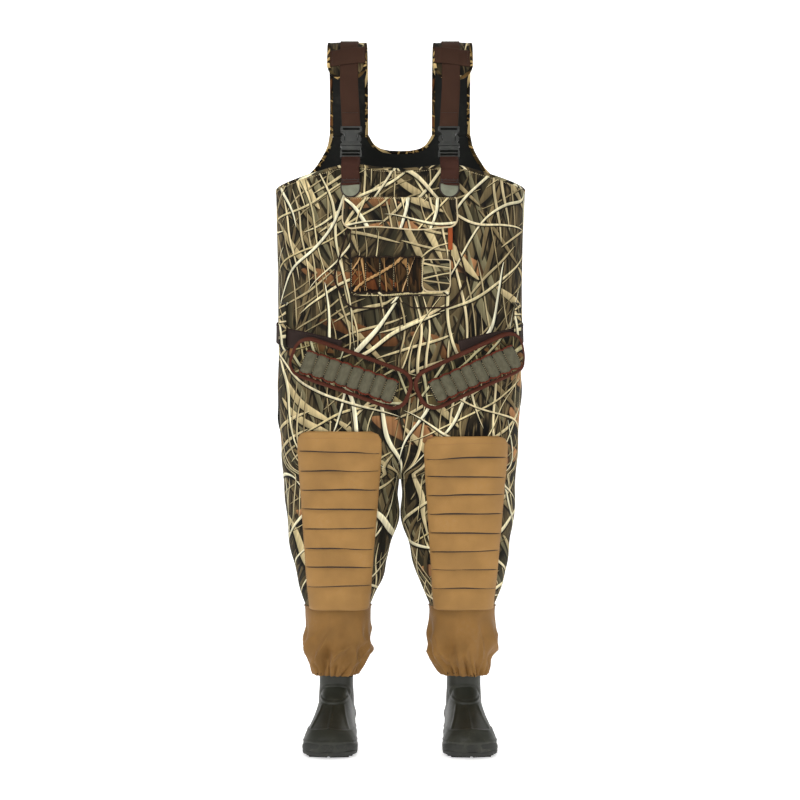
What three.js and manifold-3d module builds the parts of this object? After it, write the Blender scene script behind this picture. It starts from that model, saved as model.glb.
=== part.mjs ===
// Chest waders: a neoprene bib and trousers with moulded boots, shoulder straps on side-release
// buckles, a chest pocket with a hinged flap, pleated knee pads, elastic ankle cuffs, and a
// waist belt that carries two shell pads. Millimetres, +Z up, the wearer faces -Y and the
// wearer's left is +X. Heights are measured up from the soles and the whole part is then
// lowered, so that the origin lies between the undersides of the two shoulder straps.
import * as THREE from "three";
import { mergeVertices } from "three/addons/utils/BufferGeometryUtils.js";
import Module from "manifold-3d";

const wasm = await Module();
wasm.setup();

// ---------------------------------------------------------------- driving dimensions
const neoprene = 5; // wall of the wader fabric
const seamGap = 0.3; // clearance between two pieces that touch
const segments = 28; // facets round a torso or leg section

// Heights of the seams, up from the soles.
const bibTop = 1230;
const armpit = 1204;
const hipTop = 770; // the hips fold between these two heights
const hipBottom = 600;
const kneeTop = 553; // the knee bends between these two
const kneeBottom = 407;
const cuffTop = 300;
const cuffBottom = 152;

// Torso outline: height, half width, depth to the front and depth to the back.
const torso = [
  [1350, 260, 142, 134],
  [1204, 268, 150, 138],
  [1069, 265, 155, 140],
  [918, 265, 152, 146],
  [hipTop, 262, 147, 152],
];
const torsoRoundness = 2.4;

// Leg outline: height, outer edge, inner edge, front and back.
const leg = [
  [hipTop, 262, -240, 147, 152],
  [700, 259, -90, 137, 150],
  [650, 257, -25, 128, 144],
  [hipBottom, 254, 3, 120, 134],
  [503, 245, 4, 106, 112],
  [451, 240, 13, 98, 100],
  [399, 232, 27, 90, 90],
  [347, 221, 45, 80, 84],
  [297, 202.4, 66.8, 69.4, 77.4],
  [262, 188, 82, 59, 67],
];
const legRoundness = 2.3;

// Elastic-hemmed cuff over the boot: the same five values.
const cuff = [
  [300, 205.4, 63.8, 72.4, 80.4],
  [243, 205, 64, 76, 86],
  [196, 198, 70, 70, 82],
  [170, 188, 84, 58, 74],
  [152, 182, 95, 50, 68],
];
const cuffWall = 1.2;
const hemElasticHeight = 6;

// Webbing and its side-release buckles.
const webbingWidth = 39;
const webbingThickness = 2;
const webbingCentre = 103; // of each shoulder strap, from the middle
const buckleWidth = 50;
const buckleThickness = 9;
const plugBaseLength = 28;
const socketLength = 46;
const buckleSlot = 5;
const buckleBar = 4;
const socketWall = 1.8;
const prongWidth = 5;
const prongLength = 27;
const prongCentre = 15;
const beltWidth = 40;

// Shoulder strap: the run of its underside in the Y-Z plane, over the shoulder from back to front.
const strapCentre = 114;
const strapWidth = 77;
const strapThickness = 6;
const crestHeight = 1513; // underside of the strap where it rests on the shoulder
const crestBack = 30;
const crestFront = 0;
const strapRoot = new THREE.Vector2(134.5, 1336);
const strapTip = new THREE.Vector2(-54, 1432);
const strapTipRadius = 34;
const dropTop = new THREE.Vector2(-64, 1430); // where the webbing leaves the strap's end
const dropFoot = new THREE.Vector2(-141.5, 1229); // where it reaches the bib
const buckleRise = 26; // from that foot to the buckle's lower end

// Chest pockets, as outlines in the front view.
const pouch = { top: 1128, shoulder: 1000, bottom: 941, halfTop: 108, halfWide: 139, halfFoot: 108 };
const cargo = { top: 1132, bottom: 962, half: 104 };
const flap = { top: 1167, bottom: 1103, half: 115, thickness: 4 };
const chestLoops = { left: -96, right: 46, top: 1038, bottom: 974, count: 5 };
const accessory = { left: 49, right: 101, top: 1034, bottom: 970 };
const patchThickness = 2.4;

// Shell pads on the belt: centre, slope in degrees, length and width.
const padWidth = 88;
const padThickness = 12;
const padOffset = 3.1; // stands off the body by the belt
const pads = {
  right: { x: -100, z: 801, slope: -20, length: 255 },
  left: { x: 150, z: 808, slope: 25.5, length: 242 },
};
const padLoopCount = 8;
const loopGap = 3.4; // inside an empty, flat-lying elastic loop
const loopWall = 1.6;

// Knee pad outline in the front view.
const kneePad = { top: 677, bottom: 300.6, halfTop: 88, halfBottom: 66, centre: 135 };
const kneePadThickness = 6;

// Boots.
const bootCentre = 139;
const toeOut = 3.5; // degrees that each toe points outwards
const bootShaftTop = 236;
const bootWall = 4;
const soleThickness = 16;
const shaft = { half: 36, front: 38, back: 46, y: 10 };
// Foot outline from heel to toe: distance along Y, half width and height of the top.
const foot = [
  [98, 12, 44],
  [84, 33, 84],
  [40, 39, 128],
  [0, 41, 132],
  [-45, 44, 110],
  [-95, 52, 82],
  [-135, 55, 67],
  [-168, 45, 54],
  [-188, 18, 38],
];
const soleMargin = 3;

// ---------------------------------------------------------------- materials
const paint = (hex, roughness, metalness = 0) =>
  new THREE.MeshStandardMaterial({ color: hex, roughness, metalness });
const materials = {
  reedPrint: paint(0x8a8163, 0.85),
  strapWebbing: paint(0x46342a, 0.8),
  beltWebbing: paint(0x2a2220, 0.8),
  tanNylon: paint(0xac844e, 0.75),
  elastic: paint(0x7c745c, 0.85),
  buckle: paint(0x424240, 0.45),
  bootRubber: paint(0x35362e, 0.55),
  insole: paint(0x1c1c1c, 0.9),
};

// ---------------------------------------------------------------- helpers
const part = new THREE.Group();
part.position.z = -crestHeight;

// Smooth value of column `column` of a station list at height z.
function at(stations, z, column) {
  const curve = new THREE.SplineCurve(stations.map((s) => new THREE.Vector2(s[0], s[column])));
  const last = stations.length - 1;
  const down = stations[0][0] > stations[last][0];
  const found = stations.findIndex((s) => (down ? s[0] <= z : s[0] >= z));
  if (found === 0) return stations[0][column];
  if (found < 0) return stations[last][column];
  const share = (z - stations[found - 1][0]) / (stations[found][0] - stations[found - 1][0]);
  return curve.getPoint((found - 1 + share) / last).y;
}

// A solid for joining and cutting, from any closed geometry.
function solid(geometry) {
  const bare = geometry.index ? geometry.toNonIndexed() : geometry.clone();
  bare.deleteAttribute("normal");
  bare.deleteAttribute("uv");
  const merged = mergeVertices(bare, 1e-4);
  return new wasm.Manifold(
    new wasm.Mesh({
      numProp: 3,
      vertProperties: new Float32Array(merged.attributes.position.array),
      triVerts: new Uint32Array(merged.index.array),
    }),
  );
}

function geometryOf(made) {
  const { vertProperties, triVerts } = made.getMesh();
  const geometry = new THREE.BufferGeometry();
  geometry.setAttribute("position", new THREE.BufferAttribute(new Float32Array(vertProperties), 3));
  geometry.setIndex(new THREE.BufferAttribute(new Uint32Array(triVerts), 1));
  return geometry;
}

function add(name, made, material, parent = part) {
  const mesh = new THREE.Mesh(geometryOf(made), material);
  mesh.name = name;
  parent.add(mesh);
  return mesh;
}

// Closed skin over a stack of rings, each an array of points that runs the same way round.
function skin(rings) {
  const count = rings[0].length;
  const points = rings.flat();
  const faces = [];
  for (let r = 0; r + 1 < rings.length; r++)
    for (let i = 0; i < count; i++) {
      const a = r * count + i;
      const b = r * count + ((i + 1) % count);
      faces.push(a, b, a + count, b, b + count, a + count);
    }
  const lastRing = (rings.length - 1) * count;
  for (let i = 1; i + 1 < count; i++) {
    faces.push(0, i + 1, i);
    faces.push(lastRing, lastRing + i, lastRing + i + 1);
  }
  const geometry = new THREE.BufferGeometry().setFromPoints(points);
  geometry.setIndex(faces);
  const made = solid(geometry);
  if (made.volume() > 0) return made;
  geometry.setIndex(faces.slice().reverse());
  return solid(geometry);
}

// Rounded outline through half axes, as a ring at height z.
function oval(centreX, halfX, front, back, z, roundness) {
  const ring = [];
  for (let i = 0; i < segments; i++) {
    const angle = (i / segments) * Math.PI * 2;
    const c = Math.cos(angle);
    const s = Math.sin(angle);
    const x = centreX + halfX * Math.sign(c) * Math.abs(c) ** (2 / roundness);
    const y = (s > 0 ? back : front) * Math.sign(s) * Math.abs(s) ** (2 / roundness);
    ring.push(new THREE.Vector3(x, y, z));
  }
  return ring;
}

const reach = 400; // longer than the part is deep or half as wide
const overrun = 3; // how far a cutter passes the piece that it cuts
const padBottom = 715; // the shell pads hang no lower than this

// Heights of a station list's rings, from low to high: every station and the middle between two.
// Every layer of the body uses the same rings, so that nested layers stay parallel.
function ringHeights(stations) {
  const heights = stations.map((s) => s[0]).sort((a, b) => a - b);
  return heights.flatMap((z, i) => (i ? [(heights[i - 1] + z) / 2, z] : [z]));
}

function slab(made, low, high) {
  return made.intersect(box(-reach, reach, -reach, reach, low, high));
}

function torsoLoft(offset, low, high) {
  const ring = (z) =>
    oval(0, at(torso, z, 1) + offset, at(torso, z, 2) + offset, at(torso, z, 3) + offset, z, torsoRoundness);
  const heights = [padBottom - 2 * overrun, ...ringHeights(torso)];
  return slab(skin(heights.map(ring)), low, high);
}

// Left or right leg, grown outwards by offset. The list is one of leg or cuff.
function legLoft(side, list, offset, low, high) {
  const ring = (z) => {
    const outer = at(list, z, 1) + offset;
    const inner = at(list, z, 2) - offset;
    const front = at(list, z, 3) + offset;
    const back = at(list, z, 4) + offset;
    const made = oval((outer + inner) / 2, (outer - inner) / 2, front, back, z, legRoundness);
    return side > 0 ? made : made.map((p) => new THREE.Vector3(-p.x, p.y, p.z)).reverse();
  };
  const heights = ringHeights(list);
  const last = heights.length - 1;
  return slab(skin([heights[0] - 9, ...heights, heights[last] + 9].map(ring)), low, high);
}

const torsoShell = (low, high, from = -neoprene, to = 0) =>
  torsoLoft(to, low, high).subtract(torsoLoft(from, low - overrun, high + overrun));
const legShell = (side, list, low, high, wall) =>
  legLoft(side, list, 0, low, high).subtract(
    legLoft(side, list, -wall, low - overrun, high + overrun),
  );

function box(x0, x1, y0, y1, z0, z1) {
  const geometry = new THREE.BoxGeometry(x1 - x0, y1 - y0, z1 - z0);
  return solid(geometry.translate((x0 + x1) / 2, (y0 + y1) / 2, (z0 + z1) / 2));
}

// Prism that runs along Y behind an outline drawn in the front view.
function prism(shape, front = -reach, back = 0) {
  const geometry = new THREE.ExtrudeGeometry(shape, {
    depth: back - front,
    bevelEnabled: false,
    curveSegments: 6,
  });
  return solid(geometry.rotateX(Math.PI / 2).translate(0, back, 0));
}

function outline(points) {
  return new THREE.Shape(points.map(([x, z]) => new THREE.Vector2(x, z)));
}

function roundedBox(x0, x1, z0, z1, radius) {
  const shape = new THREE.Shape();
  shape.moveTo(x0 + radius, z0);
  shape.lineTo(x1 - radius, z0);
  shape.absarc(x1 - radius, z0 + radius, radius, -Math.PI / 2, 0, false);
  shape.lineTo(x1, z1 - radius);
  shape.absarc(x1 - radius, z1 - radius, radius, 0, Math.PI / 2, false);
  shape.lineTo(x0 + radius, z1);
  shape.absarc(x0 + radius, z1 - radius, radius, Math.PI / 2, Math.PI, false);
  shape.lineTo(x0, z0 + radius);
  shape.absarc(x0 + radius, z0 + radius, radius, Math.PI, Math.PI * 1.5, false);
  return shape;
}

// A patch of cloth that follows the body, from one offset to another.
function patch(shape, from, thickness, low = 900, high = bibTop + 20) {
  return torsoShell(low, high, from, from + thickness).intersect(prism(shape));
}

// Ribbon in the Y-Z plane: offsets from a run of points, and its two edges along X.
function ribbon(run, from, to, x0, x1) {
  const side = (distance) =>
    run.map((p, i) => {
      const before = run[Math.max(0, i - 1)];
      const after = run[Math.min(run.length - 1, i + 1)];
      const tangent = after.clone().sub(before).normalize();
      return new THREE.Vector2(p.x - tangent.y * distance, p.y + tangent.x * distance);
    });
  const shape = new THREE.Shape([...side(from), ...side(to).reverse()]);
  const geometry = new THREE.ExtrudeGeometry(shape, { depth: x1 - x0, bevelEnabled: false });
  // The shape's x is Y, its y is Z, and the depth runs along X.
  const turn = new THREE.Matrix4().makeBasis(
    new THREE.Vector3(0, 1, 0),
    new THREE.Vector3(0, 0, 1),
    new THREE.Vector3(1, 0, 0),
  );
  return solid(geometry.applyMatrix4(turn).translate(x0, 0, 0));
}

const sides = { left: 1, right: -1 };
const span = (side, low, high) => (side > 0 ? [low, high] : [-high, -low]);

// ---------------------------------------------------------------- bib and back
// Front panel: level across the chest and falling to the armpits.
const bibHalf = at(torso, armpit, 1) + 2;
const frontOutline = outline([
  [-bibHalf, hipTop],
  [bibHalf, hipTop],
  [bibHalf, armpit],
  [150, bibTop],
  [-150, bibTop],
  [-bibHalf, armpit],
]);
const sideSeam = 0;
add(
  "front_bib_panel",
  torsoShell(hipTop, bibTop + 20).intersect(prism(frontOutline, -reach, sideSeam - seamGap)),
  materials.reedPrint,
);

// Back panel: rises behind the neck into the roots of the two shoulder straps.
const neckBase = 1299;
const strapInner = strapCentre - strapWidth / 2;
const strapOuter = strapCentre + strapWidth / 2;
const backTop = strapRoot.y - 0.6;
function backOutline() {
  const shape = new THREE.Shape();
  shape.moveTo(-bibHalf, hipTop);
  shape.lineTo(bibHalf, hipTop);
  shape.lineTo(bibHalf, armpit);
  shape.bezierCurveTo(200, armpit + 20, strapOuter + 22, armpit + 60, strapOuter, backTop);
  shape.lineTo(strapInner, backTop);
  shape.bezierCurveTo(strapInner - 15, neckBase, 20, neckBase, 0, neckBase);
  shape.bezierCurveTo(-20, neckBase, -strapInner + 15, neckBase, -strapInner, backTop);
  shape.lineTo(-strapOuter, backTop);
  shape.bezierCurveTo(-strapOuter - 22, armpit + 60, -200, armpit + 20, -bibHalf, armpit);
  return shape;
}
add(
  "back_bib_panel",
  torsoShell(hipTop, backTop + 8).intersect(prism(backOutline(), sideSeam, reach)),
  materials.reedPrint,
);

// ---------------------------------------------------------------- chest pockets
const pouchOutline = outline([
  [-pouch.halfTop, pouch.top],
  [-pouch.halfWide, pouch.shoulder],
  [-pouch.halfFoot, pouch.bottom],
  [pouch.halfFoot, pouch.bottom],
  [pouch.halfWide, pouch.shoulder],
  [pouch.halfTop, pouch.top],
]);
const cargoOffset = seamGap + patchThickness + seamGap;
const overCargo = cargoOffset + patchThickness + seamGap;
add("handwarmer_pouch", patch(pouchOutline, seamGap, patchThickness), materials.reedPrint);
const cargoOutline = roundedBox(-cargo.half, cargo.half, cargo.bottom, cargo.top, 12);
add("cargo_pocket", patch(cargoOutline, cargoOffset, patchThickness), materials.reedPrint);
add(
  "accessory_pocket",
  patch(
    roundedBox(accessory.left, accessory.right, accessory.bottom, accessory.top, 6),
    overCargo,
    patchThickness,
  ),
  materials.reedPrint,
);
add(
  "pocket_flap",
  patch(roundedBox(-flap.half, flap.half, flap.bottom, flap.top, 14), overCargo, flap.thickness),
  materials.reedPrint,
);

// Elastic strip with a row of flat-lying loops: stitched valleys and slightly raised arches.
function loopStrip(outlineShape, offset, joints) {
  const raised = patch(outlineShape, offset + loopGap, loopWall);
  const inside = patch(outlineShape, offset - overrun, loopGap + overrun);
  const webs = joints.map((shape) => patch(shape, offset, loopGap + loopWall));
  return webs.reduce((made, web) => made.add(web), raised.subtract(inside));
}
const seamWidth = 3;
function rowOfSeams(left, right, bottom, top, count) {
  const pitch = (right - left - seamWidth) / count;
  const seams = [];
  for (let i = 0; i <= count; i++) {
    const x = left + i * pitch;
    seams.push([x, x + seamWidth, bottom, top]);
  }
  return seams;
}
const rectangle = ([x0, x1, z0, z1]) =>
  outline([
    [x0, z0],
    [x1, z0],
    [x1, z1],
    [x0, z1],
  ]);
add(
  "chest_shell_loops",
  loopStrip(
    rectangle([chestLoops.left, chestLoops.right, chestLoops.bottom, chestLoops.top]),
    overCargo,
    rowOfSeams(chestLoops.left, chestLoops.right, chestLoops.bottom, chestLoops.top, chestLoops.count).map(
      rectangle,
    ),
  ),
  materials.elastic,
);

// ---------------------------------------------------------------- shoulder straps
// The strap's underside: up from the back, level over the shoulder, and down to the rounded end.
function strapRun() {
  const crestStart = new THREE.Vector2(crestBack, crestHeight);
  const crestEnd = new THREE.Vector2(crestFront, crestHeight);
  const rise = new THREE.CubicBezierCurve(
    strapRoot,
    new THREE.Vector2(strapRoot.x, 1440),
    new THREE.Vector2(86, crestHeight),
    crestStart,
  );
  const fall = new THREE.CubicBezierCurve(
    crestEnd,
    new THREE.Vector2(-30, crestHeight),
    new THREE.Vector2(-46, 1480),
    strapTip,
  );
  return { rise: rise.getPoints(9), fall: fall.getPoints(7) };
}
const { rise, fall } = strapRun();
const run = [...rise, ...fall];
const webbingOffset = -strapThickness - seamGap;
const keeperOffset = webbingOffset - webbingThickness - seamGap;

// Rounds the strap's front end, and leaves its back part square.
function strapEndCutter(centre) {
  const bottom = strapTip.y - 12;
  const rounded = roundedBox(
    centre - strapWidth / 2,
    centre + strapWidth / 2,
    strapTip.y,
    strapTip.y + 90,
    strapTipRadius,
  );
  const block = box(centre - 60, centre + 60, -90, -25, bottom, strapTip.y + strapTipRadius);
  return block.subtract(prism(rounded, -reach, reach));
}

const keeperRun = fall.slice(3, 6);
const dropDirection = dropTop.clone().sub(dropFoot).normalize();
const alongDrop = (distance) => dropFoot.clone().addScaledVector(dropDirection, distance);
const plugFoot = buckleRise;
const matingLine = plugFoot + plugBaseLength;
const socketTop = matingLine + socketLength;

for (const [name, side] of Object.entries(sides)) {
  const centre = side * strapCentre;
  const strap = ribbon(run, -strapThickness, 0, centre - strapWidth / 2, centre + strapWidth / 2);
  add(`${name}_shoulder_strap`, strap.subtract(strapEndCutter(centre)), materials.reedPrint);

  const [w0, w1] = span(side, webbingCentre - webbingWidth / 2, webbingCentre + webbingWidth / 2);
  const overCrest = [...rise.slice(-3), ...fall.slice(0, -3)];
  add(
    `${name}_shoulder_webbing`,
    ribbon(overCrest, webbingOffset - webbingThickness, webbingOffset, w0, w1),
    materials.strapWebbing,
  );
  const [k0, k1] = span(side, strapCentre - 36, strapCentre + 30);
  add(
    `${name}_webbing_keeper`,
    ribbon(keeperRun, keeperOffset - webbingThickness, keeperOffset, k0, k1),
    materials.strapWebbing,
  );

  // Loose webbing from the keeper down to the buckle's upper bar.
  const start = fall[fall.length - 3];
  const tangent = fall[fall.length - 1].clone().sub(start).normalize();
  const outward = new THREE.Vector2(-tangent.y, tangent.x).multiplyScalar(webbingOffset);
  const leave = start.clone().add(outward).addScaledVector(tangent, 1.5);
  const dropRun = [leave, dropTop.clone(), alongDrop(socketTop + 0.4)];
  add(
    `${name}_drop_webbing`,
    ribbon(dropRun, -webbingThickness, 0, w0, w1),
    materials.strapWebbing,
  );

  // Tab that is sewn to the bib and carries the buckle's plug.
  const sewn = patch(rectangle([w0, w1, 1201, bibTop + 8]), seamGap, webbingThickness);
  const rising = ribbon([alongDrop(plugFoot - 0.4), alongDrop(-2)], -webbingThickness, 0, w0, w1);
  const tab = sewn.add(rising).subtract(torsoLoft(seamGap, 1190, bibTop + seamGap));
  add(`${name}_strap_tab`, tab, materials.strapWebbing);
  const disc = new THREE.Shape();
  disc.moveTo(w0, 1200);
  disc.absarc((w0 + w1) / 2, 1200, webbingWidth / 2, Math.PI, Math.PI * 2, false);
  add(`${name}_tab_patch`, patch(disc, seamGap, patchThickness), materials.reedPrint);
}

// ---------------------------------------------------------------- side-release buckles
// Local frame: X across, Z from the plug to the socket with 0 at the mating line, -Y outwards.
const inner = buckleWidth / 2 - socketWall - 2.5;
const throat = (buckleThickness - 2 * socketWall) / 2;
const half = buckleThickness / 2;
const prongThickness = 2 * throat - 1.2;

function plugSolid() {
  const w = buckleWidth / 2;
  const base = prism(roundedBox(-w, w, -plugBaseLength, -0.5, 3), -half, half);
  const slot = (z) => box(-w + 4, w - 4, -half - 1, half + 1, z, z + buckleSlot);
  const guide = box(-4, 4, -throat + 0.4, throat - 0.4, -2, prongLength - 4);
  const lower = -plugBaseLength + buckleBar;
  return base.subtract(slot(lower)).subtract(slot(lower + buckleSlot + 3)).add(guide);
}

function socketSolid() {
  const w = buckleWidth / 2 - 1;
  const bodyTop = socketLength - buckleBar - buckleSlot - 2;
  const body = prism(roundedBox(-w, w, 0.3, socketLength, 3), -half, half);
  const channel = box(-inner, inner, -throat, throat, -1, prongLength + 4);
  const slot = box(-w + 4, w - 4, -half - 1, half + 1, bodyTop + 2, bodyTop + 2 + buckleSlot);
  const window = (side) => {
    const [x0, x1] = span(side, inner - 4.5, w + 2);
    return box(x0, x1, -half - 1, half + 1, 9, prongLength - 1);
  };
  return body.subtract(channel).subtract(slot).subtract(window(1)).subtract(window(-1));
}

function prongSolid(side) {
  const root = prongCentre - prongWidth / 2;
  const tip = inner - 0.6;
  const shape = outline([
    [root, 0],
    [root + prongWidth, 0],
    [tip, 12],
    [tip, prongLength - 3],
    [tip - 3, prongLength],
    [tip - prongWidth, prongLength],
    [tip - prongWidth + 0.5, 12],
  ]);
  const made = prism(shape, -prongThickness / 2, prongThickness / 2);
  return side > 0 ? made : made.mirror([1, 0, 0]);
}

function addBuckle(prefix, group) {
  part.add(group);
  add(`${prefix}_buckle_plug`, plugSolid(), materials.buckle, group);
  add(`${prefix}_buckle_socket`, socketSolid(), materials.buckle, group);
  add(`${prefix}_buckle_prong_a`, prongSolid(1), materials.buckle, group);
  add(`${prefix}_buckle_prong_b`, prongSolid(-1), materials.buckle, group);
}

for (const [name, side] of Object.entries(sides)) {
  const place = new THREE.Group();
  const mating = alongDrop(matingLine);
  place.position.set(side * webbingCentre, mating.x, mating.y);
  place.rotation.x = -Math.atan2(dropDirection.x, dropDirection.y);
  addBuckle(name, place);
}

// ---------------------------------------------------------------- waist, belt and shell pads
const beltOffset = 0.6;
const beltThickness = 2.2;
const beltTilt = 0.22; // fall of the belt towards the front, per millimetre of depth
const beltSide = 895; // height of the belt's middle at the side seams

// Point at a distance along and across a pad, in the plane of the front.
function onPad(pad, along, across) {
  const slope = THREE.MathUtils.degToRad(pad.slope);
  const x = pad.x + along * Math.cos(slope) - across * Math.sin(slope);
  const z = pad.z + along * Math.sin(slope) + across * Math.cos(slope);
  return [x, z];
}

function padShape(pad, margin = 0) {
  const along = pad.length / 2 + margin;
  const across = padWidth / 2 + margin;
  const shape = roundedBox(-along, along, -across, across, 26);
  return outline(shape.getPoints(5).map((p) => onPad(pad, p.x, p.y)));
}

// Upright rectangle on a pad's slope, from its two ends along and its two edges across.
function padBand(pad, [from, to, low, high]) {
  const corners = [
    [from, low],
    [to, low],
    [to, high],
    [from, high],
  ];
  return outline(corners.map(([along, across]) => onPad(pad, along, across)));
}

const frontOnly = box(-reach, reach, -reach, -12, padBottom, 1000);
function padLayer(offset, thickness) {
  return torsoShell(padBottom, 945, offset, offset + thickness).intersect(frontOnly);
}
const beltBuckleAt = 100; // along the right pad from its centre
const rightSlope = THREE.MathUtils.degToRad(pads.right.slope);
const buckleDepth = at(torso, pads.right.z, 2) + 0.7 + buckleThickness / 2;
const beltBuckle = new THREE.Group();
beltBuckle.position.set(
  pads.right.x + beltBuckleAt * Math.cos(rightSlope),
  -buckleDepth,
  pads.right.z + beltBuckleAt * Math.sin(rightSlope),
);
beltBuckle.rotation.y = -Math.PI / 2 - rightSlope;
beltBuckle.updateMatrix();
// Room behind the pads' inner ends for the buckle and for drawing it apart.
const buckleRoom = box(-28, 28, -5.5, 40, -34, socketLength + 38).transform(beltBuckle.matrix.toArray());
const loopsLow = 12; // from a pad's lower edge up to its loops
const loopsHigh = 26; // from its upper edge down to them
for (const [name, pad] of Object.entries(pads)) {
  const cushion = padLayer(padOffset, padThickness).intersect(prism(padShape(pad)));
  add(`${name}_shell_pad`, cushion.subtract(buckleRoom), materials.elastic);
  const offset = padOffset + padThickness + seamGap;
  const half = pad.length / 2 - 28;
  const low = -padWidth / 2 + loopsLow;
  const high = padWidth / 2 - loopsHigh;
  const piece = (shape, from, thickness) => padLayer(from, thickness).intersect(prism(shape));
  const raised = piece(padBand(pad, [-half, half, low, high]), offset + loopGap, loopWall);
  const webs = rowOfSeams(-half, half, low, high, padLoopCount).map((seam) =>
    piece(padBand(pad, seam), offset, loopGap + loopWall),
  );
  add(`${name}_pad_loops`, webs.reduce((made, web) => made.add(web), raised), materials.elastic);
}

// Belt: round the back and sides on a tilt, then down behind each pad to the buckle.
const beltBand = () => {
  const level = new THREE.BoxGeometry(2 * reach, 2 * reach, beltWidth);
  level.rotateX(Math.atan(beltTilt)).translate(0, 0, beltSide);
  return solid(level);
};
const beltLayer = torsoShell(padBottom, 1000, beltOffset, beltOffset + beltThickness);
const frontGap = box(-205, 205, -reach, -20, padBottom - 5, 1005);
const beltBack = beltLayer.intersect(beltBand()).subtract(frontGap);
const beltFront = (pad, from, to) => {
  const band = padBand(pad, [from, to, -beltWidth / 2, beltWidth / 2]);
  return beltLayer.intersect(frontOnly).intersect(prism(band));
};
const slackTop = beltBuckleAt - socketLength - 1;
const slackLength = 36; // webbing that gives way while the buckle is drawn apart
const rightFront = beltFront(pads.right, -140, slackTop - slackLength - seamGap);
add("belt_slack_webbing", beltFront(pads.right, slackTop - slackLength, slackTop), materials.beltWebbing);
const leftFront = beltFront(pads.left, -80, 118);
add("belt_webbing", beltBack.add(rightFront).add(leftFront), materials.beltWebbing);

addBuckle("belt", beltBuckle);

// Belt loops: two in front of the hips behind the belt, and one over it at the middle of the back.
const loopInside = beltOffset + beltThickness + seamGap;
const loopLayer = torsoShell(840, 980, loopInside, loopInside + 2);
for (const [name, side] of Object.entries(sides)) {
  const [x0, x1] = span(side, 235, 257);
  const loop = box(x0, x1, -reach, -20, 852, 950).subtract(prism(padShape(pads[name], 0.6)));
  add(`${name}_belt_loop`, loopLayer.intersect(loop), materials.reedPrint);
}
add("back_belt_loop", loopLayer.intersect(box(-18, 18, 20, reach, 885, 970)), materials.reedPrint);

// ---------------------------------------------------------------- seat and legs
const both = (offset, low, high) => legLoft(1, leg, offset, low, high).add(legLoft(-1, leg, offset, low, high));
const ankleSeam = 262;
const hips = both(0, hipBottom, hipTop - seamGap);
add("hip_sleeve", hips.subtract(both(-neoprene, hipBottom - overrun, hipTop + overrun)), materials.reedPrint);

for (const [name, side] of Object.entries(sides)) {
  const thigh = legShell(side, leg, kneeTop, hipBottom - seamGap, neoprene);
  add(`${name}_thigh_sleeve`, thigh, materials.reedPrint);
  add(
    `${name}_knee_sleeve`,
    legShell(side, leg, kneeBottom + seamGap, kneeTop - seamGap, neoprene),
    materials.reedPrint,
  );
  add(`${name}_shin_sleeve`, legShell(side, leg, ankleSeam, kneeBottom, neoprene), materials.reedPrint);

  // Knee pad: a sheet over the front of the leg, wider at the thigh than at the shin.
  const sheet = legLoft(side, leg, seamGap + kneePadThickness, kneePad.bottom, kneePad.top).subtract(
    both(seamGap, kneePad.bottom - overrun, kneePad.top + overrun),
  );
  const padMiddle = side * kneePad.centre;
  const padOutline = outline([
    [padMiddle - kneePad.halfBottom, kneePad.bottom],
    [padMiddle + kneePad.halfBottom, kneePad.bottom],
    [padMiddle + kneePad.halfTop, kneePad.top],
    [padMiddle - kneePad.halfTop, kneePad.top],
  ]);
  add(`${name}_knee_pad`, sheet.intersect(prism(padOutline, -reach, -10)), materials.tanNylon);

  add(`${name}_cuff`, legShell(side, cuff, cuffBottom, cuffTop, cuffWall), materials.tanNylon);
}

// ---------------------------------------------------------------- boots
// Upright tube of the boot, grown by offset.
function shaftLoft(offset, low, high) {
  const ring = (z) => oval(0, shaft.half + offset, shaft.front + offset, shaft.back + offset, z, 2.2);
  return skin([low, high].map(ring)).translate([0, shaft.y, 0]);
}

// Foot of the boot, grown by offset above its flat floor.
function footLoft(offset, floor) {
  const rings = ringHeights(foot).map((y) => {
    const halfWidth = at(foot, y, 1) + offset;
    const top = at(foot, y, 2) + offset;
    const ring = [];
    for (let i = 0; i < 18; i++) {
      const angle = (i / 18) * Math.PI * 2;
      const c = Math.cos(angle);
      const s = Math.sin(angle);
      const x = halfWidth * Math.sign(c) * Math.abs(c) ** 0.8;
      const z = s > 0 ? floor + (top - floor) * s ** 0.85 : floor;
      ring.push(new THREE.Vector3(x, y * (1 + offset / 190), z + (s > 0 ? 0 : s * 0.01)));
    }
    return ring;
  });
  return skin(rings);
}

function soleShape(margin) {
  const right = foot.map(([y, w]) => new THREE.Vector2(w + margin, y));
  const heel = new THREE.Vector2(0, foot[0][0] + margin + 4);
  const toe = new THREE.Vector2(0, foot[foot.length - 1][0] - margin - 4);
  const left = foot.map(([y, w]) => new THREE.Vector2(-w - margin, y)).reverse();
  const curve = new THREE.SplineCurve([heel, ...right, toe, ...left, heel]);
  return new THREE.Shape(curve.getPoints(44).slice(0, -1));
}

function plate(shape, z0, z1) {
  const geometry = new THREE.ExtrudeGeometry(shape, { depth: z1 - z0, bevelEnabled: false });
  return solid(geometry.translate(0, 0, z0));
}

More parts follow.
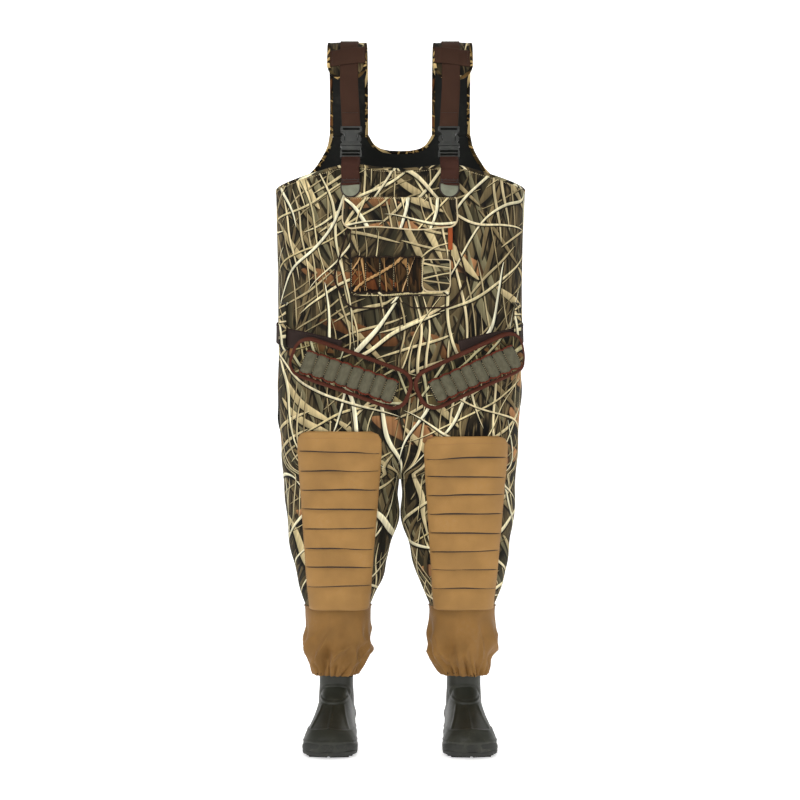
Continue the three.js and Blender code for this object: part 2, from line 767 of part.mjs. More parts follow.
const upperFloor = soleThickness + seamGap;
const hemBottom = cuffBottom + 3;
const insoleTop = upperFloor + bootWall + seamGap + 4;
for (const [name, side] of Object.entries(sides)) {
  const boot = new THREE.Group();
  boot.position.x = side * bootCentre;
  boot.rotation.z = THREE.MathUtils.degToRad(toeOut * side);
  part.add(boot);
  const outer = footLoft(0, upperFloor).add(shaftLoft(0, upperFloor + 40, bootShaftTop));
  const cavity = footLoft(-bootWall, upperFloor + bootWall).add(
    shaftLoft(-bootWall, upperFloor + bootWall + 36, bootShaftTop + overrun),
  );
  add(`${name}_boot_upper`, outer.subtract(cavity), materials.bootRubber, boot);
  add(`${name}_outsole`, plate(soleShape(soleMargin), 0, soleThickness), materials.bootRubber, boot);
  const bed = footLoft(-bootWall - 0.4, upperFloor + bootWall + seamGap);
  add(`${name}_insole`, slab(bed, 0, insoleTop), materials.insole, boot);

  // Gathered elastic inside the cuff's hem, drawn in on the boot's shaft.
  boot.updateMatrix();
  const inside = legLoft(side, cuff, -cuffWall - seamGap, hemBottom, hemBottom + hemElasticHeight);
  const around = shaftLoft(seamGap, 100, bootShaftTop).transform(boot.matrix.toArray());
  add(`${name}_cuff_elastic`, inside.subtract(around), materials.elastic);
}

export default part;
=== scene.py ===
import math
import bpy
import numpy as np
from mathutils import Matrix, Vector, noise
from mathutils.bvhtree import BVHTree


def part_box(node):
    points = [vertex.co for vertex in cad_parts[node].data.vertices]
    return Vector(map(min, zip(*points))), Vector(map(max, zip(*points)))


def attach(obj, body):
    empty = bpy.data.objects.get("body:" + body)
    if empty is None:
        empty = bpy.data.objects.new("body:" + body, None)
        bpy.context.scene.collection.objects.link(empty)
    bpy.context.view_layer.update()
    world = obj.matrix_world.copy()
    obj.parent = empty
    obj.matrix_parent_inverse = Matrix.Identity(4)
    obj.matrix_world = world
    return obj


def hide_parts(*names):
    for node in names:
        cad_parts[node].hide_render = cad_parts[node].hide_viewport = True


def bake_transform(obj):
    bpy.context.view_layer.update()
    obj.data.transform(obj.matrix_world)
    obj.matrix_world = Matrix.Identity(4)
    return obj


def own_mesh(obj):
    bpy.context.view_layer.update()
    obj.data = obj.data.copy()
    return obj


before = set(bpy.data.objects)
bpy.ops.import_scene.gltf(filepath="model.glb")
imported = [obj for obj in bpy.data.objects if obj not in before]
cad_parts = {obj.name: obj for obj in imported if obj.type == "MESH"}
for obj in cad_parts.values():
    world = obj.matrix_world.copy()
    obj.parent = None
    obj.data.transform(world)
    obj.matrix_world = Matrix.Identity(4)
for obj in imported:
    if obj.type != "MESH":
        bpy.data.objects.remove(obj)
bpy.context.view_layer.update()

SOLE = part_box("left_outsole")[0].z  # every height below is measured up from here


# Camera: level with the hips, four metres in front, as in a catalogue picture.
camera_data = bpy.data.cameras.new("camera")
camera_data.lens = 85
camera = bpy.data.objects.new("camera", camera_data)
camera.location = (0, -4.1, SOLE + 0.745)
camera.rotation_euler = (math.pi / 2, 0, 0)
bpy.context.scene.collection.objects.link(camera)
bpy.context.scene.camera = camera


# Floor, backdrop and light: a pale studio sweep under broad soft lamps.
def plain_material(name, color, roughness):
    made = bpy.data.materials.new(name)
    made.use_nodes = True
    shader = made.node_tree.nodes["Principled BSDF"]
    shader.inputs["Base Color"].default_value = (*color, 1)
    shader.inputs["Roughness"].default_value = roughness
    return made


def mesh_object(name, points, faces, materials, face_slots=None, uv=None, smooth=True):
    data = bpy.data.meshes.new(name)
    data.from_pydata([tuple(map(float, p)) for p in points], [], [tuple(map(int, f)) for f in faces])
    for made in materials:
        data.materials.append(made)
    if face_slots is not None:
        data.polygons.foreach_set("material_index", np.asarray(face_slots, dtype=np.int32))
    if uv is not None:
        layer = data.uv_layers.new(name="UVMap")
        corner = np.empty(len(data.loops), dtype=np.int32)
        data.loops.foreach_get("vertex_index", corner)
        layer.data.foreach_set("uv", np.asarray(uv, dtype=np.float32)[corner].ravel())
    data.polygons.foreach_set("use_smooth", np.full(len(data.polygons), smooth))
    data.validate()
    data.update()
    made = bpy.data.objects.new(name, data)
    bpy.context.scene.collection.objects.link(made)
    return made


FLOOR_RADIUS, RISE_RADIUS, WALL_TOP = 4.9, 1.6, 3.4
AROUND = 64  # sides of the round backdrop
sweep_profile = [(0.0, 0.0), (FLOOR_RADIUS, 0.0)]
sweep_profile += [(FLOOR_RADIUS + RISE_RADIUS * math.sin(a), RISE_RADIUS - RISE_RADIUS * math.cos(a))
                  for a in np.linspace(0.15, math.pi / 2, 10)]
sweep_profile += [(FLOOR_RADIUS + RISE_RADIUS, WALL_TOP)]
turns = np.linspace(0, 2 * math.pi, AROUND + 1)[:-1]
sweep_points = [(r * math.cos(a), r * math.sin(a), SOLE + z) for r, z in sweep_profile for a in turns]
sweep_faces = []
for i in range(len(sweep_profile) - 1):
    for k in range(AROUND):
        here, beside = AROUND * i + k, AROUND * i + (k + 1) % AROUND
        sweep_faces.append((here, beside, beside + AROUND, here + AROUND))
paper = plain_material("floor", (1.0, 1.0, 0.995), 0.6)
paper.node_tree.nodes["Principled BSDF"].inputs["Emission Color"].default_value = (1, 1, 1, 1)
paper.node_tree.nodes["Principled BSDF"].inputs["Emission Strength"].default_value = 0.55
floor = mesh_object("floor", sweep_points, sweep_faces, [paper])

world = bpy.data.worlds.new("world")
world.use_nodes = True
world.node_tree.nodes["Background"].inputs[0].default_value = (1, 1, 1, 1)
world.node_tree.nodes["Background"].inputs[1].default_value = 0.15
bpy.context.scene.world = world
bpy.context.scene.view_settings.view_transform = "Standard"
for name, place, aim, size, power in (
    ("key", (-1.2, -2.6, 2.2), (0, 0, -0.75), 1.4, 55),
    ("fill", (2.6, -2.8, 0.3), (0, 0, -0.8), 2.2, 11),
    ("rim", (0.5, 1.9, 1.6), (0, 0, -0.6), 1.6, 40),
):
    lamp_data = bpy.data.lights.new(name, "AREA")
    lamp_data.energy = power
    lamp_data.size = size
    lamp = bpy.data.objects.new(name, lamp_data)
    lamp.location = place
    lamp.rotation_euler = (Vector(aim) - Vector(place)).to_track_quat("-Z", "Y").to_euler()
    bpy.context.scene.collection.objects.link(lamp)


# Wader body: 5 mm neoprene foam laminated between a printed jersey outside and a black jersey
# inside, cut as a front and a back that meet at glued side seams, with two legs below the crotch.
# Height, half width, depth to the front and to the back.
TORSO = np.array([
    (1.350, 0.262, 0.142, 0.134),
    (1.204, 0.2685, 0.150, 0.138),
    (1.069, 0.266, 0.155, 0.140),
    (0.918, 0.264, 0.152, 0.146),
    (0.770, 0.262, 0.147, 0.152),
])[::-1]
# Height, outer edge, inner edge, front and back of a leg.
LEG = np.array([
    (0.770, 0.262, -0.245, 0.147, 0.152),
    (0.700, 0.259, -0.120, 0.139, 0.150),
    (0.650, 0.257, -0.050, 0.130, 0.144),
    (0.600, 0.254, -0.004, 0.120, 0.134),
    (0.553, 0.249, 0.003, 0.112, 0.123),
    (0.503, 0.245, 0.004, 0.106, 0.112),
    (0.451, 0.240, 0.013, 0.098, 0.100),
    (0.399, 0.232, 0.027, 0.090, 0.090),
    (0.347, 0.221, 0.045, 0.080, 0.084),
    (0.297, 0.2024, 0.0668, 0.0694, 0.0774),
    (0.262, 0.188, 0.082, 0.059, 0.067),
])[::-1]


def smooth_value(table, z, column):
    heights, values = table[:, 0], table[:, column]
    slopes = np.gradient(values, heights)
    i = int(np.clip(np.searchsorted(heights, z) - 1, 0, len(heights) - 2))
    span = heights[i + 1] - heights[i]
    t = min(max((z - heights[i]) / span, 0), 1)
    rise = values[i + 1] - values[i]
    a, b = slopes[i] * span - rise, rise - slopes[i + 1] * span
    return values[i] + rise * t + t * (1 - t) * (a * (1 - t) + b * t)


def even_points(points, count):
    lengths = np.r_[0, np.cumsum(np.linalg.norm(np.diff(points, axis=0), axis=1))]
    wanted = np.linspace(0, lengths[-1], count)
    return np.stack([np.interp(wanted, lengths, points[:, k]) for k in range(points.shape[1])], 1)


# Left half of the outline at height z: the front from the middle to the side, or the back on to the middle.
def half_outline(z, part, count):
    if z >= 0.77:
        middle, half, power = 0.0, smooth_value(TORSO, z, 1), 2.4
        depth = smooth_value(TORSO, z, 2 if part == "front" else 3)
    else:
        outer, inner = smooth_value(LEG, z, 1), smooth_value(LEG, z, 2)
        middle, half = (outer + inner) / 2, (outer - inner) / 2
        depth = smooth_value(LEG, z, 3 if part == "front" else 4)
        power = 2.3 + 0.1 * max(0, (z - 0.6) / 0.17)
    angle = np.linspace(0, math.pi, 721)
    c, s = np.cos(angle), np.sin(angle)
    x = middle + half * np.sign(c) * np.abs(c) ** (2 / power)
    y = depth * s ** (2 / power)
    keep = x >= min(0, middle - half + 1e-9) if middle - half >= 0 else x >= 0
    x, y = x[keep], y[keep]
    if middle - half < 0:
        x[-1] = 0
    points = even_points(np.stack([x, y], 1), count)
    if part == "front":
        return np.stack([points[::-1, 0], -points[::-1, 1]], 1)
    return points


# Soft folds of a garment that hangs empty, along the fabric's normal.
def fold_depth(p):
    x, y, z = p
    side = abs(x)
    soft = noise.noise(Vector((x * 5, y * 5, z * 3.2))) * 0.0035
    drag = noise.noise(Vector((x * 9 + z * 7, y * 9, z * 13 - side * 9 + 4)))
    crotch = math.exp(-(((z - 0.64) / 0.09) ** 2) - (side / 0.2) ** 2)
    knee = math.exp(-(((z - 0.43) / 0.12) ** 2))
    seat = math.exp(-(((z - 0.72) / 0.12) ** 2)) if y > 0 else 0
    waist = math.exp(-(((z - 0.88) / 0.06) ** 2))
    return soft + drag * (0.010 * crotch + 0.0065 * knee + 0.009 * seat + 0.003 * waist + 0.0012)


def grid_normals(grid):
    across = np.gradient(grid, axis=1)
    along = np.gradient(grid, axis=0)
    normal = np.cross(across, along)
    return normal / np.maximum(np.linalg.norm(normal, axis=2, keepdims=True), 1e-9)


# Closed cloth from a grid of outer points: the face, the lining and the cut edges between them.
def cloth(name, grid, uv, thickness, materials, ring=False, normals=None):
    rows, columns = grid.shape[:2]
    normals = grid_normals(grid) if normals is None else normals
    lining = grid - normals * thickness
    points = np.concatenate([grid.reshape(-1, 3), lining.reshape(-1, 3)])
    flat = uv.reshape(-1, 2)
    total = rows * columns
    faces, slots = [], []
    for r in range(rows - 1):
        for c in range(columns - (0 if ring else 1)):
            d = (c + 1) % columns
            quad = (r * columns + c, r * columns + d, (r + 1) * columns + d, (r + 1) * columns + c)
            faces += [quad, tuple(i + total for i in quad[::-1])]
            slots += [0, 1]
    last = (rows - 1) * columns
    rim = []
    for c in range(columns - (0 if ring else 1)):
        d = (c + 1) % columns
        rim += [(d, c), (last + c, last + d)]
    if not ring:
        for r in range(rows - 1):
            rim += [(r * columns, (r + 1) * columns), ((r + 2) * columns - 1, (r + 1) * columns - 1)]
    for a, b in rim:
        faces.append((a, b, b + total, a + total))
        slots.append(1)
    return mesh_object(name, points, faces, materials, slots, np.concatenate([flat, flat]))


HALF = 56  # columns from the middle to a side seam
BODY_FOOT = 0.575  # where the two legs are joined on


def front_top(x):
    side = abs(x)
    return float(np.interp(side, (0, 0.05, 0.10, 0.13, 0.20, 0.27),
                           (1.226, 1.230, 1.238, 1.234, 1.216, 1.196)))


STRAP_INNER, STRAP_OUTER = 0.0755, 0.1525  # the two sides of a strap's root


def back_top(x):
    side = abs(x)
    return float(np.interp(
        side,
        (0, 0.025, 0.045, 0.058, 0.068, STRAP_INNER, STRAP_OUTER, 0.158, 0.168, 0.185, 0.21, 0.245, 0.27),
        (1.299, 1.300, 1.304, 1.311, 1.322, 1.336, 1.336, 1.318, 1.292, 1.262, 1.233, 1.208, 1.196),
    ))


# Half a body panel as rows of points from the foot up to its own top edge.
def half_panel(part):
    heights = np.arange(BODY_FOOT, 1.3501, 0.005)
    table = np.array([half_outline(z, part, HALF + 1) for z in heights])
    table = table if part == "front" else table[:, ::-1]  # column 0 is the middle
    arc = np.concatenate([
        np.zeros((len(heights), 1)),
        np.cumsum(np.linalg.norm(np.diff(table, axis=1), axis=2), axis=1),
    ], axis=1)
    rows = 120
    grid = np.empty((rows, HALF + 1, 3))
    uv = np.empty((rows, HALF + 1, 2))
    for c in range(HALF + 1):
        x_top = np.interp(1.24, heights, table[:, c, 0])
        top = front_top(x_top) if part == "front" else back_top(x_top)
        share = np.linspace(0, 1, rows)
        z = BODY_FOOT + share * (1.15 - BODY_FOOT) / 0.82
        upper = share > 0.82
        z[upper] = 1.15 + (share[upper] - 0.82) / 0.18 * (top - 1.15)
        for k in range(2):
            grid[:, c, k] = np.interp(z, heights, table[:, c, k])
        grid[:, c, 2] = z
        uv[:, c, 0] = np.interp(z, heights, arc[:, c])
        uv[:, c, 1] = z
    return grid, uv


def body_panel(part):
    grid, uv = half_panel(part)
    mirrored = grid[:, :0:-1] * (-1, 1, 1)
    mirrored_uv = uv[:, :0:-1] * (-1, 1)
    grid = np.concatenate([mirrored, grid], axis=1)
    uv = np.concatenate([mirrored_uv, uv], axis=1)
    # Ease the crease where the two legs' tubes run into each other.
    eased = grid[..., 1].copy()
    reach = np.exp(-((grid[..., 0] / 0.05) ** 2)) * (grid[..., 2] < 0.80)
    for _ in range(60):
        mean = (np.roll(eased, 1, axis=1) + np.roll(eased, -1, axis=1)) / 2
        eased += (mean - eased) * reach * 0.9
    grid[..., 1] = eased
    if part == "back":
        grid, uv = grid[:, ::-1], uv[:, ::-1] * (-1, 1) + (1.1, 0)
    normals = grid_normals(grid)
    depth = np.array([[fold_depth(p) for p in row] for row in grid])
    grid = grid + normals * depth[..., None]
    grid[..., 2] += SOLE
    return grid, uv


def linear(red, green, blue):
    return tuple((v / 255 / 12.92 if v < 11 else ((v / 255 + 0.055) / 1.055) ** 2.4)
                 for v in (red, green, blue)) + (1,)


def node(tree, kind, inputs=None, **settings):
    made = tree.nodes.new(kind)
    for key, value in settings.items():
        setattr(made, key, value)
    for slot, value in (inputs or {}).items():
        if isinstance(value, bpy.types.NodeSocket):
            tree.links.new(value, made.inputs[slot])
        else:
            made.inputs[slot].default_value = value
    return made


def calc(tree, operation, a, b=0.0, c=0.0):
    return node(tree, "ShaderNodeMath", {0: a, 1: b, 2: c}, operation=operation).outputs[0]


def step(tree, value, low, high, kind="SMOOTHSTEP", to=(0.0, 1.0)):
    inputs = {"Value": value, "From Min": low, "From Max": high, "To Min": to[0], "To Max": to[1]}
    return node(tree, "ShaderNodeMapRange", inputs, interpolation_type=kind).outputs[0]


def mixed(tree, share, a, b, blend="MIX"):
    made = node(tree, "ShaderNodeMix", data_type="RGBA", blend_type=blend)
    for slot, value in ((0, share), (6, a), (7, b)):
        if isinstance(value, bpy.types.NodeSocket):
            tree.links.new(value, made.inputs[slot])
        else:
            made.inputs[slot].default_value = value
    return made.outputs[2]


def node_group(name, inputs, outputs):
    tree = bpy.data.node_groups.new(name, "ShaderNodeTree")
    for label, kind, value in inputs:
        socket = tree.interface.new_socket(name=label, in_out="INPUT", socket_type=kind)
        if value is not None:
            socket.default_value = value
    for label, kind in outputs:
        tree.interface.new_socket(name=label, in_out="OUTPUT", socket_type=kind)
    return tree, tree.nodes.new("NodeGroupInput"), tree.nodes.new("NodeGroupOutput")


def use_group(tree, group, **inputs):
    made = node(tree, "ShaderNodeGroup", node_tree=group)
    for label, value in inputs.items():
        socket = made.inputs[label.replace("_", " ")]
        if isinstance(value, bpy.types.NodeSocket):
            tree.links.new(value, socket)
        else:
            socket.default_value = value
    return made.outputs


NUMBER, COLOR, VECTOR = "NodeSocketFloat", "NodeSocketColor", "NodeSocketVector"

# One layer of the print: rows of tapered, bent blades, each with its own place, width and tint.
blades, given, result = node_group(
    "printed blades",
    [("Vector", VECTOR, None), ("Angle", NUMBER, 0), ("Length", NUMBER, 0.3), ("Pitch", NUMBER, 0.04),
     ("Thin", NUMBER, 0.1), ("Thick", NUMBER, 0.3), ("Density", NUMBER, 0.5), ("Bend", NUMBER, 0.08),
     ("Seed", NUMBER, 0)],
    [("Mask", NUMBER), ("Shadow", NUMBER), ("Across", NUMBER), ("Along", NUMBER), ("Tint", NUMBER)],
)
turned = node(blades, "ShaderNodeVectorRotate", {"Vector": given.outputs["Vector"],
                                                 "Angle": given.outputs["Angle"]},
              rotation_type="Z_AXIS").outputs[0]
bender = node(blades, "ShaderNodeTexNoise", {"Vector": turned, "W": given.outputs["Seed"], "Scale": 3.6,
                                             "Detail": 1},
              noise_dimensions="4D").outputs["Color"]
bent = node(blades, "ShaderNodeVectorMath", {0: bender, 1: (0.5, 0.5, 0.5)},
            operation="SUBTRACT").outputs[0]
bent = node(blades, "ShaderNodeVectorMath", {0: bent, "Scale": given.outputs["Bend"]},
            operation="SCALE").outputs[0]
bent = node(blades, "ShaderNodeVectorMath", {0: turned, 1: bent}, operation="ADD").outputs[0]
part = node(blades, "ShaderNodeSeparateXYZ", {0: bent})
lane = calc(blades, "DIVIDE", part.outputs[1], given.outputs["Pitch"])
row = calc(blades, "FLOOR", lane)
row_key = node(blades, "ShaderNodeCombineXYZ", {0: row, 1: given.outputs["Seed"]}).outputs[0]
row_chance = node(blades, "ShaderNodeTexWhiteNoise", {"Vector": row_key},
                  noise_dimensions="2D").outputs["Value"]
run = calc(blades, "ADD", calc(blades, "DIVIDE", part.outputs[0], given.outputs["Length"]),
           calc(blades, "MULTIPLY", row_chance, 9))
cell = calc(blades, "FLOOR", run)
along = calc(blades, "FRACT", run)
key = node(blades, "ShaderNodeCombineXYZ", {0: row, 1: cell, 2: given.outputs["Seed"]}).outputs[0]
chance = node(blades, "ShaderNodeTexWhiteNoise", {"Vector": key}, noise_dimensions="3D")
draw = node(blades, "ShaderNodeSeparateColor", {0: chance.outputs["Color"]})
width = calc(blades, "MULTIPLY_ADD", draw.outputs[2],
             calc(blades, "SUBTRACT", given.outputs["Thick"], given.outputs["Thin"]), given.outputs["Thin"])
bulge = calc(blades, "MULTIPLY", calc(blades, "MULTIPLY", along, calc(blades, "SUBTRACT", 1, along)), 4)
half_width = calc(blades, "MULTIPLY", width, calc(blades, "POWER", calc(blades, "ADD", bulge, 0.001), 0.62))
slant = calc(blades, "MULTIPLY", calc(blades, "SUBTRACT", along, 0.5),
             calc(blades, "SUBTRACT", draw.outputs[1], 0.5))
offset = calc(blades, "MULTIPLY_ADD", calc(blades, "SUBTRACT", draw.outputs[0], 0.5), 0.35,
              calc(blades, "MULTIPLY", slant, 0.9))
across = calc(blades, "SUBTRACT", calc(blades, "SUBTRACT", calc(blades, "FRACT", lane), 0.5), offset)
signed = calc(blades, "DIVIDE", across, half_width)
shifted = calc(blades, "DIVIDE", calc(blades, "ADD", across, calc(blades, "MULTIPLY", width, 0.55)),
               half_width)
here = calc(blades, "LESS_THAN", chance.outputs["Value"], given.outputs["Density"])
edge = step(blades, calc(blades, "ABSOLUTE", signed), 1.0, 0.86)
dark = step(blades, calc(blades, "ABSOLUTE", shifted), 1.9, 0.8)
for label, value in (("Mask", calc(blades, "MULTIPLY", edge, here)),
                     ("Shadow", calc(blades, "MULTIPLY", dark, here)),
                     ("Across", signed), ("Along", along), ("Tint", draw.outputs[2])):
    blades.links.new(value, result.inputs[label])

# The whole print: a dark marsh floor under layers of leaves, blades and pale reeds.
reed_print, given, result = node_group(
    "reed print", [("Vector", VECTOR, None), ("Brightness", NUMBER, 1)],
                                       [("Color", COLOR), ("Raised", NUMBER)])
place = given.outputs["Vector"]
streaky = node(reed_print, "ShaderNodeMapping", {"Vector": place, "Rotation": (0, 0, 0.35),
                                                 "Scale": (150, 14, 1)})
streaks = node(reed_print, "ShaderNodeTexNoise", {"Vector": streaky.outputs[0], "Scale": 1, "Detail": 3,
                                                  "Distortion": 0.6})
patches = node(reed_print, "ShaderNodeTexNoise", {"Vector": place, "Scale": 9, "Detail": 3}).outputs[0]
color = mixed(reed_print, step(reed_print, patches, 0.35, 0.65), linear(9, 8, 6), linear(62, 53, 36))
color = mixed(reed_print, step(reed_print, streaks.outputs[0], 0.42, 0.72, to=(0, 0.7)), color,
              linear(128, 110, 76))
raised = None
for angle, length, pitch, thin, thick, density, bend, seed, shade, low, high in (
    (1.35, 0.24, 0.060, 0.16, 0.34, 0.56, 0.10, 1, 0.80, (20, 18, 12), (70, 64, 45)),
    (-0.90, 0.20, 0.048, 0.14, 0.32, 0.50, 0.10, 2, 0.80, (28, 23, 15), (122, 106, 74)),
    (0.25, 0.19, 0.090, 0.16, 0.30, 0.30, 0.08, 3, 0.80, (92, 58, 32), (186, 134, 88)),
    (1.15, 0.26, 0.034, 0.10, 0.28, 0.44, 0.12, 4, 0.85, (58, 55, 41), (140, 131, 98)),
    (-1.20, 0.24, 0.026, 0.08, 0.26, 0.44, 0.14, 5, 0.90, (22, 19, 13), (128, 110, 76)),
    (0.75, 0.17, 0.036, 0.10, 0.30, 0.32, 0.12, 6, 0.90, (106, 88, 57), (218, 198, 148)),
    (-0.50, 0.16, 0.020, 0.06, 0.20, 0.34, 0.16, 11, 0.90, (132, 114, 76), (226, 208, 160)),
    (1.45, 0.20, 0.017, 0.06, 0.18, 0.38, 0.18, 12, 0.90, (152, 132, 90), (240, 222, 174)),
    (-0.45, 0.34, 0.056, 0.035, 0.075, 0.46, 0.15, 7, 0.95, (208, 188, 134), (254, 242, 198)),
    (1.30, 0.40, 0.066, 0.03, 0.075, 0.52, 0.16, 8, 0.95, (222, 204, 152), (255, 248, 212)),
    (-1.00, 0.44, 0.080, 0.02, 0.060, 0.48, 0.20, 9, 0.95, (228, 210, 160), (255, 250, 218)),
    (0.35, 0.46, 0.100, 0.02, 0.050, 0.48, 0.20, 10, 0.95, (226, 206, 156), (255, 249, 214)),
):
    layer = use_group(reed_print, blades, Vector=place, Angle=angle, Length=length, Pitch=pitch, Thin=thin,
                      Thick=thick, Density=density, Bend=bend, Seed=seed)
    color = mixed(reed_print, calc(reed_print, "MULTIPLY", layer["Shadow"], shade), color,
                  linear(13, 11, 8))
    tint = mixed(reed_print, layer["Tint"], linear(*low), linear(*high))
    rib = step(reed_print, layer["Across"], -1.0, 1.0, "LINEAR", to=(0.62, 1.1))
    grain = step(reed_print, streaks.outputs[0], 0.3, 0.7, "LINEAR", to=(0.66, 1.16))
    lit = calc(reed_print, "MULTIPLY", rib, grain)
    tint = mixed(reed_print, 1.0, tint, node(reed_print, "ShaderNodeCombineColor",
                                             {0: lit, 1: lit, 2: lit}).outputs[0],
                 "MULTIPLY")
    color = mixed(reed_print, layer["Mask"], color, tint)
    raised = layer["Mask"] if raised is None else calc(reed_print, "MAXIMUM", raised, layer["Mask"])
bright = given.outputs["Brightness"]
scaled = node(reed_print, "ShaderNodeCombineColor", {0: bright, 1: bright, 2: bright}).outputs[0]
reed_print.links.new(mixed(reed_print, 1.0, color, scaled, "MULTIPLY"), result.inputs["Color"])
reed_print.links.new(raised, result.inputs["Raised"])

# Threads of a cloth: an over-and-under grid of one pitch, with the height of each thread and a painted
# shade, darker where a thread dips under the next.
weave, given, result = node_group(
    "woven threads", [("Vector", VECTOR, None), ("Pitch", NUMBER, 0.001), ("Stretch", NUMBER, 1)],
    [("Height", NUMBER), ("Shade", NUMBER)])
part = node(weave, "ShaderNodeSeparateXYZ", {0: given.outputs["Vector"]})
turns = calc(weave, "DIVIDE", 6.2832, given.outputs["Pitch"])
warp = calc(weave, "SINE", calc(weave, "MULTIPLY", part.outputs[0], turns))
weft = calc(weave, "SINE", calc(weave, "MULTIPLY", calc(weave, "MULTIPLY", part.outputs[1], turns),
                                given.outputs["Stretch"]))
threads = calc(weave, "MULTIPLY", warp, weft)
weave.links.new(step(weave, threads, -1, 1, "LINEAR"), result.inputs["Height"])
# Painted shade: darker in the dips between threads, lighter on the crowns.
weave.links.new(step(weave, threads, -1, 1, "LINEAR", to=(0.82, 1.08)), result.inputs["Shade"])

# Use marks: slow changes of tone with a few paler, dusty areas.
wear, given, result = node_group(
    "use marks", [("Vector", VECTOR, None), ("Size", NUMBER, 8)], [("Shade", NUMBER), ("Dust", NUMBER)])
broad = node(wear, "ShaderNodeTexNoise", {"Vector": given.outputs[0], "Scale": given.outputs[1],
                                          "Detail": 4}).outputs[0]
fine = node(wear, "ShaderNodeTexNoise",
            {"Vector": given.outputs[0], "Scale": calc(wear, "MULTIPLY", given.outputs[1], 9),
             "Detail": 3}).outputs[0]
wear.links.new(step(wear, broad, 0.3, 0.7, to=(0.86, 1.1)), result.inputs["Shade"])
wear.links.new(calc(wear, "MULTIPLY", step(wear, broad, 0.5, 0.75), step(wear, fine, 0.4, 0.7)),
               result.inputs["Dust"])


# A cloth or moulded material: a colour, or the print, with threads and their painted shade, wear and a bump
# of its own.
def cloth_material(name, color=None, roughness=0.85, pitch=0.0012, stretch=1.0, depth=0.0004, bright=1.0,
                   coordinates="UV", sheen=0.0, size=8, thread_painted_shade=1.0, tint=(255, 255, 255)):
    made = bpy.data.materials.new(name)
    made.use_nodes = True
    tree = made.node_tree
    shader = tree.nodes["Principled BSDF"]
    shader.inputs["Roughness"].default_value = roughness
    shader.inputs["Sheen Weight"].default_value = sheen
    shader.inputs["Specular IOR Level"].default_value = 0.35 if roughness < 0.8 else 0.14
    source = node(tree, "ShaderNodeTexCoord").outputs[coordinates]
    threads = use_group(tree, weave, Vector=source, Pitch=pitch, Stretch=stretch)
    marks = use_group(tree, wear, Vector=source, Size=float(size))
    if color is None:
        base = use_group(tree, reed_print, Vector=source, Brightness=bright)["Color"]
        base = mixed(tree, 1.0, base, linear(*tint), "MULTIPLY")
    else:
        base = mixed(tree, calc(tree, "MULTIPLY", marks["Dust"], 0.05), linear(*color),
                     linear(170, 160, 140))
    # Random tone from the use marks, times the threads' painted shade.
    shade = calc(tree, "MULTIPLY", marks["Shade"], calc(tree, "POWER", threads["Shade"], thread_painted_shade))
    grey = node(tree, "ShaderNodeCombineColor", {0: shade, 1: shade, 2: shade}).outputs[0]
    tree.links.new(mixed(tree, 1.0, base, grey, "MULTIPLY"), shader.inputs["Base Color"])
    bump = node(tree, "ShaderNodeBump", {"Strength": 0.35, "Distance": depth, "Height": threads["Height"]})
    tree.links.new(bump.outputs[0], shader.inputs["Normal"])
    return made


jersey = cloth_material("printed jersey", roughness=0.88, sheen=0.02, bright=1.05)
lining = cloth_material("black lining", (30, 31, 29), roughness=0.9, pitch=0.0015, sheen=0.05)

for part in ("front", "back"):
    grid, uv = body_panel(part)
    panel = cloth(f"{part}_panel", grid, uv, 0.005, [jersey, lining])
    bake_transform(panel)
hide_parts("front_bib_panel", "hip_sleeve", "left_thigh_sleeve")
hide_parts("back_bib_panel", "right_thigh_sleeve")


# Lower legs: a tube of the same neoprene from the thigh to inside the ankle cuff.
def leg_tube(side):
    heights = np.arange(0.262, BODY_FOOT + 0.0041, 0.004)
    rows, uvs = [], []
    for z in heights:
        front = half_outline(z, "front", HALF + 1)
        back = half_outline(z, "back", HALF + 1)
        ring = np.concatenate([front, back[1:]])
        arc = np.r_[0, np.cumsum(np.linalg.norm(np.diff(ring, axis=0), axis=1))]
        rows.append(np.c_[ring * (side, 1), np.full(len(ring), z)])
        uvs.append(np.c_[arc * side, np.full(len(ring), z)])
    grid, uv = np.array(rows), np.array(uvs)
    if side < 0:
        grid, uv = grid[:, ::-1], uv[:, ::-1]
    normals = grid_normals(grid)
    depth = np.array([[fold_depth(p) for p in row] for row in grid])
    depth *= np.clip((grid[..., 2] - 0.29) / 0.06, 0, 1)
    grid = grid + normals * depth[..., None]
    grid[..., 2] += SOLE
    return grid, uv


for name, side in (("left", 1), ("right", -1)):
    grid, uv = leg_tube(side)
    tube = cloth(f"{name}_leg", grid, uv, 0.005, [jersey, lining])
    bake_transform(tube)
    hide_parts(f"{name}_knee_sleeve", f"{name}_shin_sleeve")


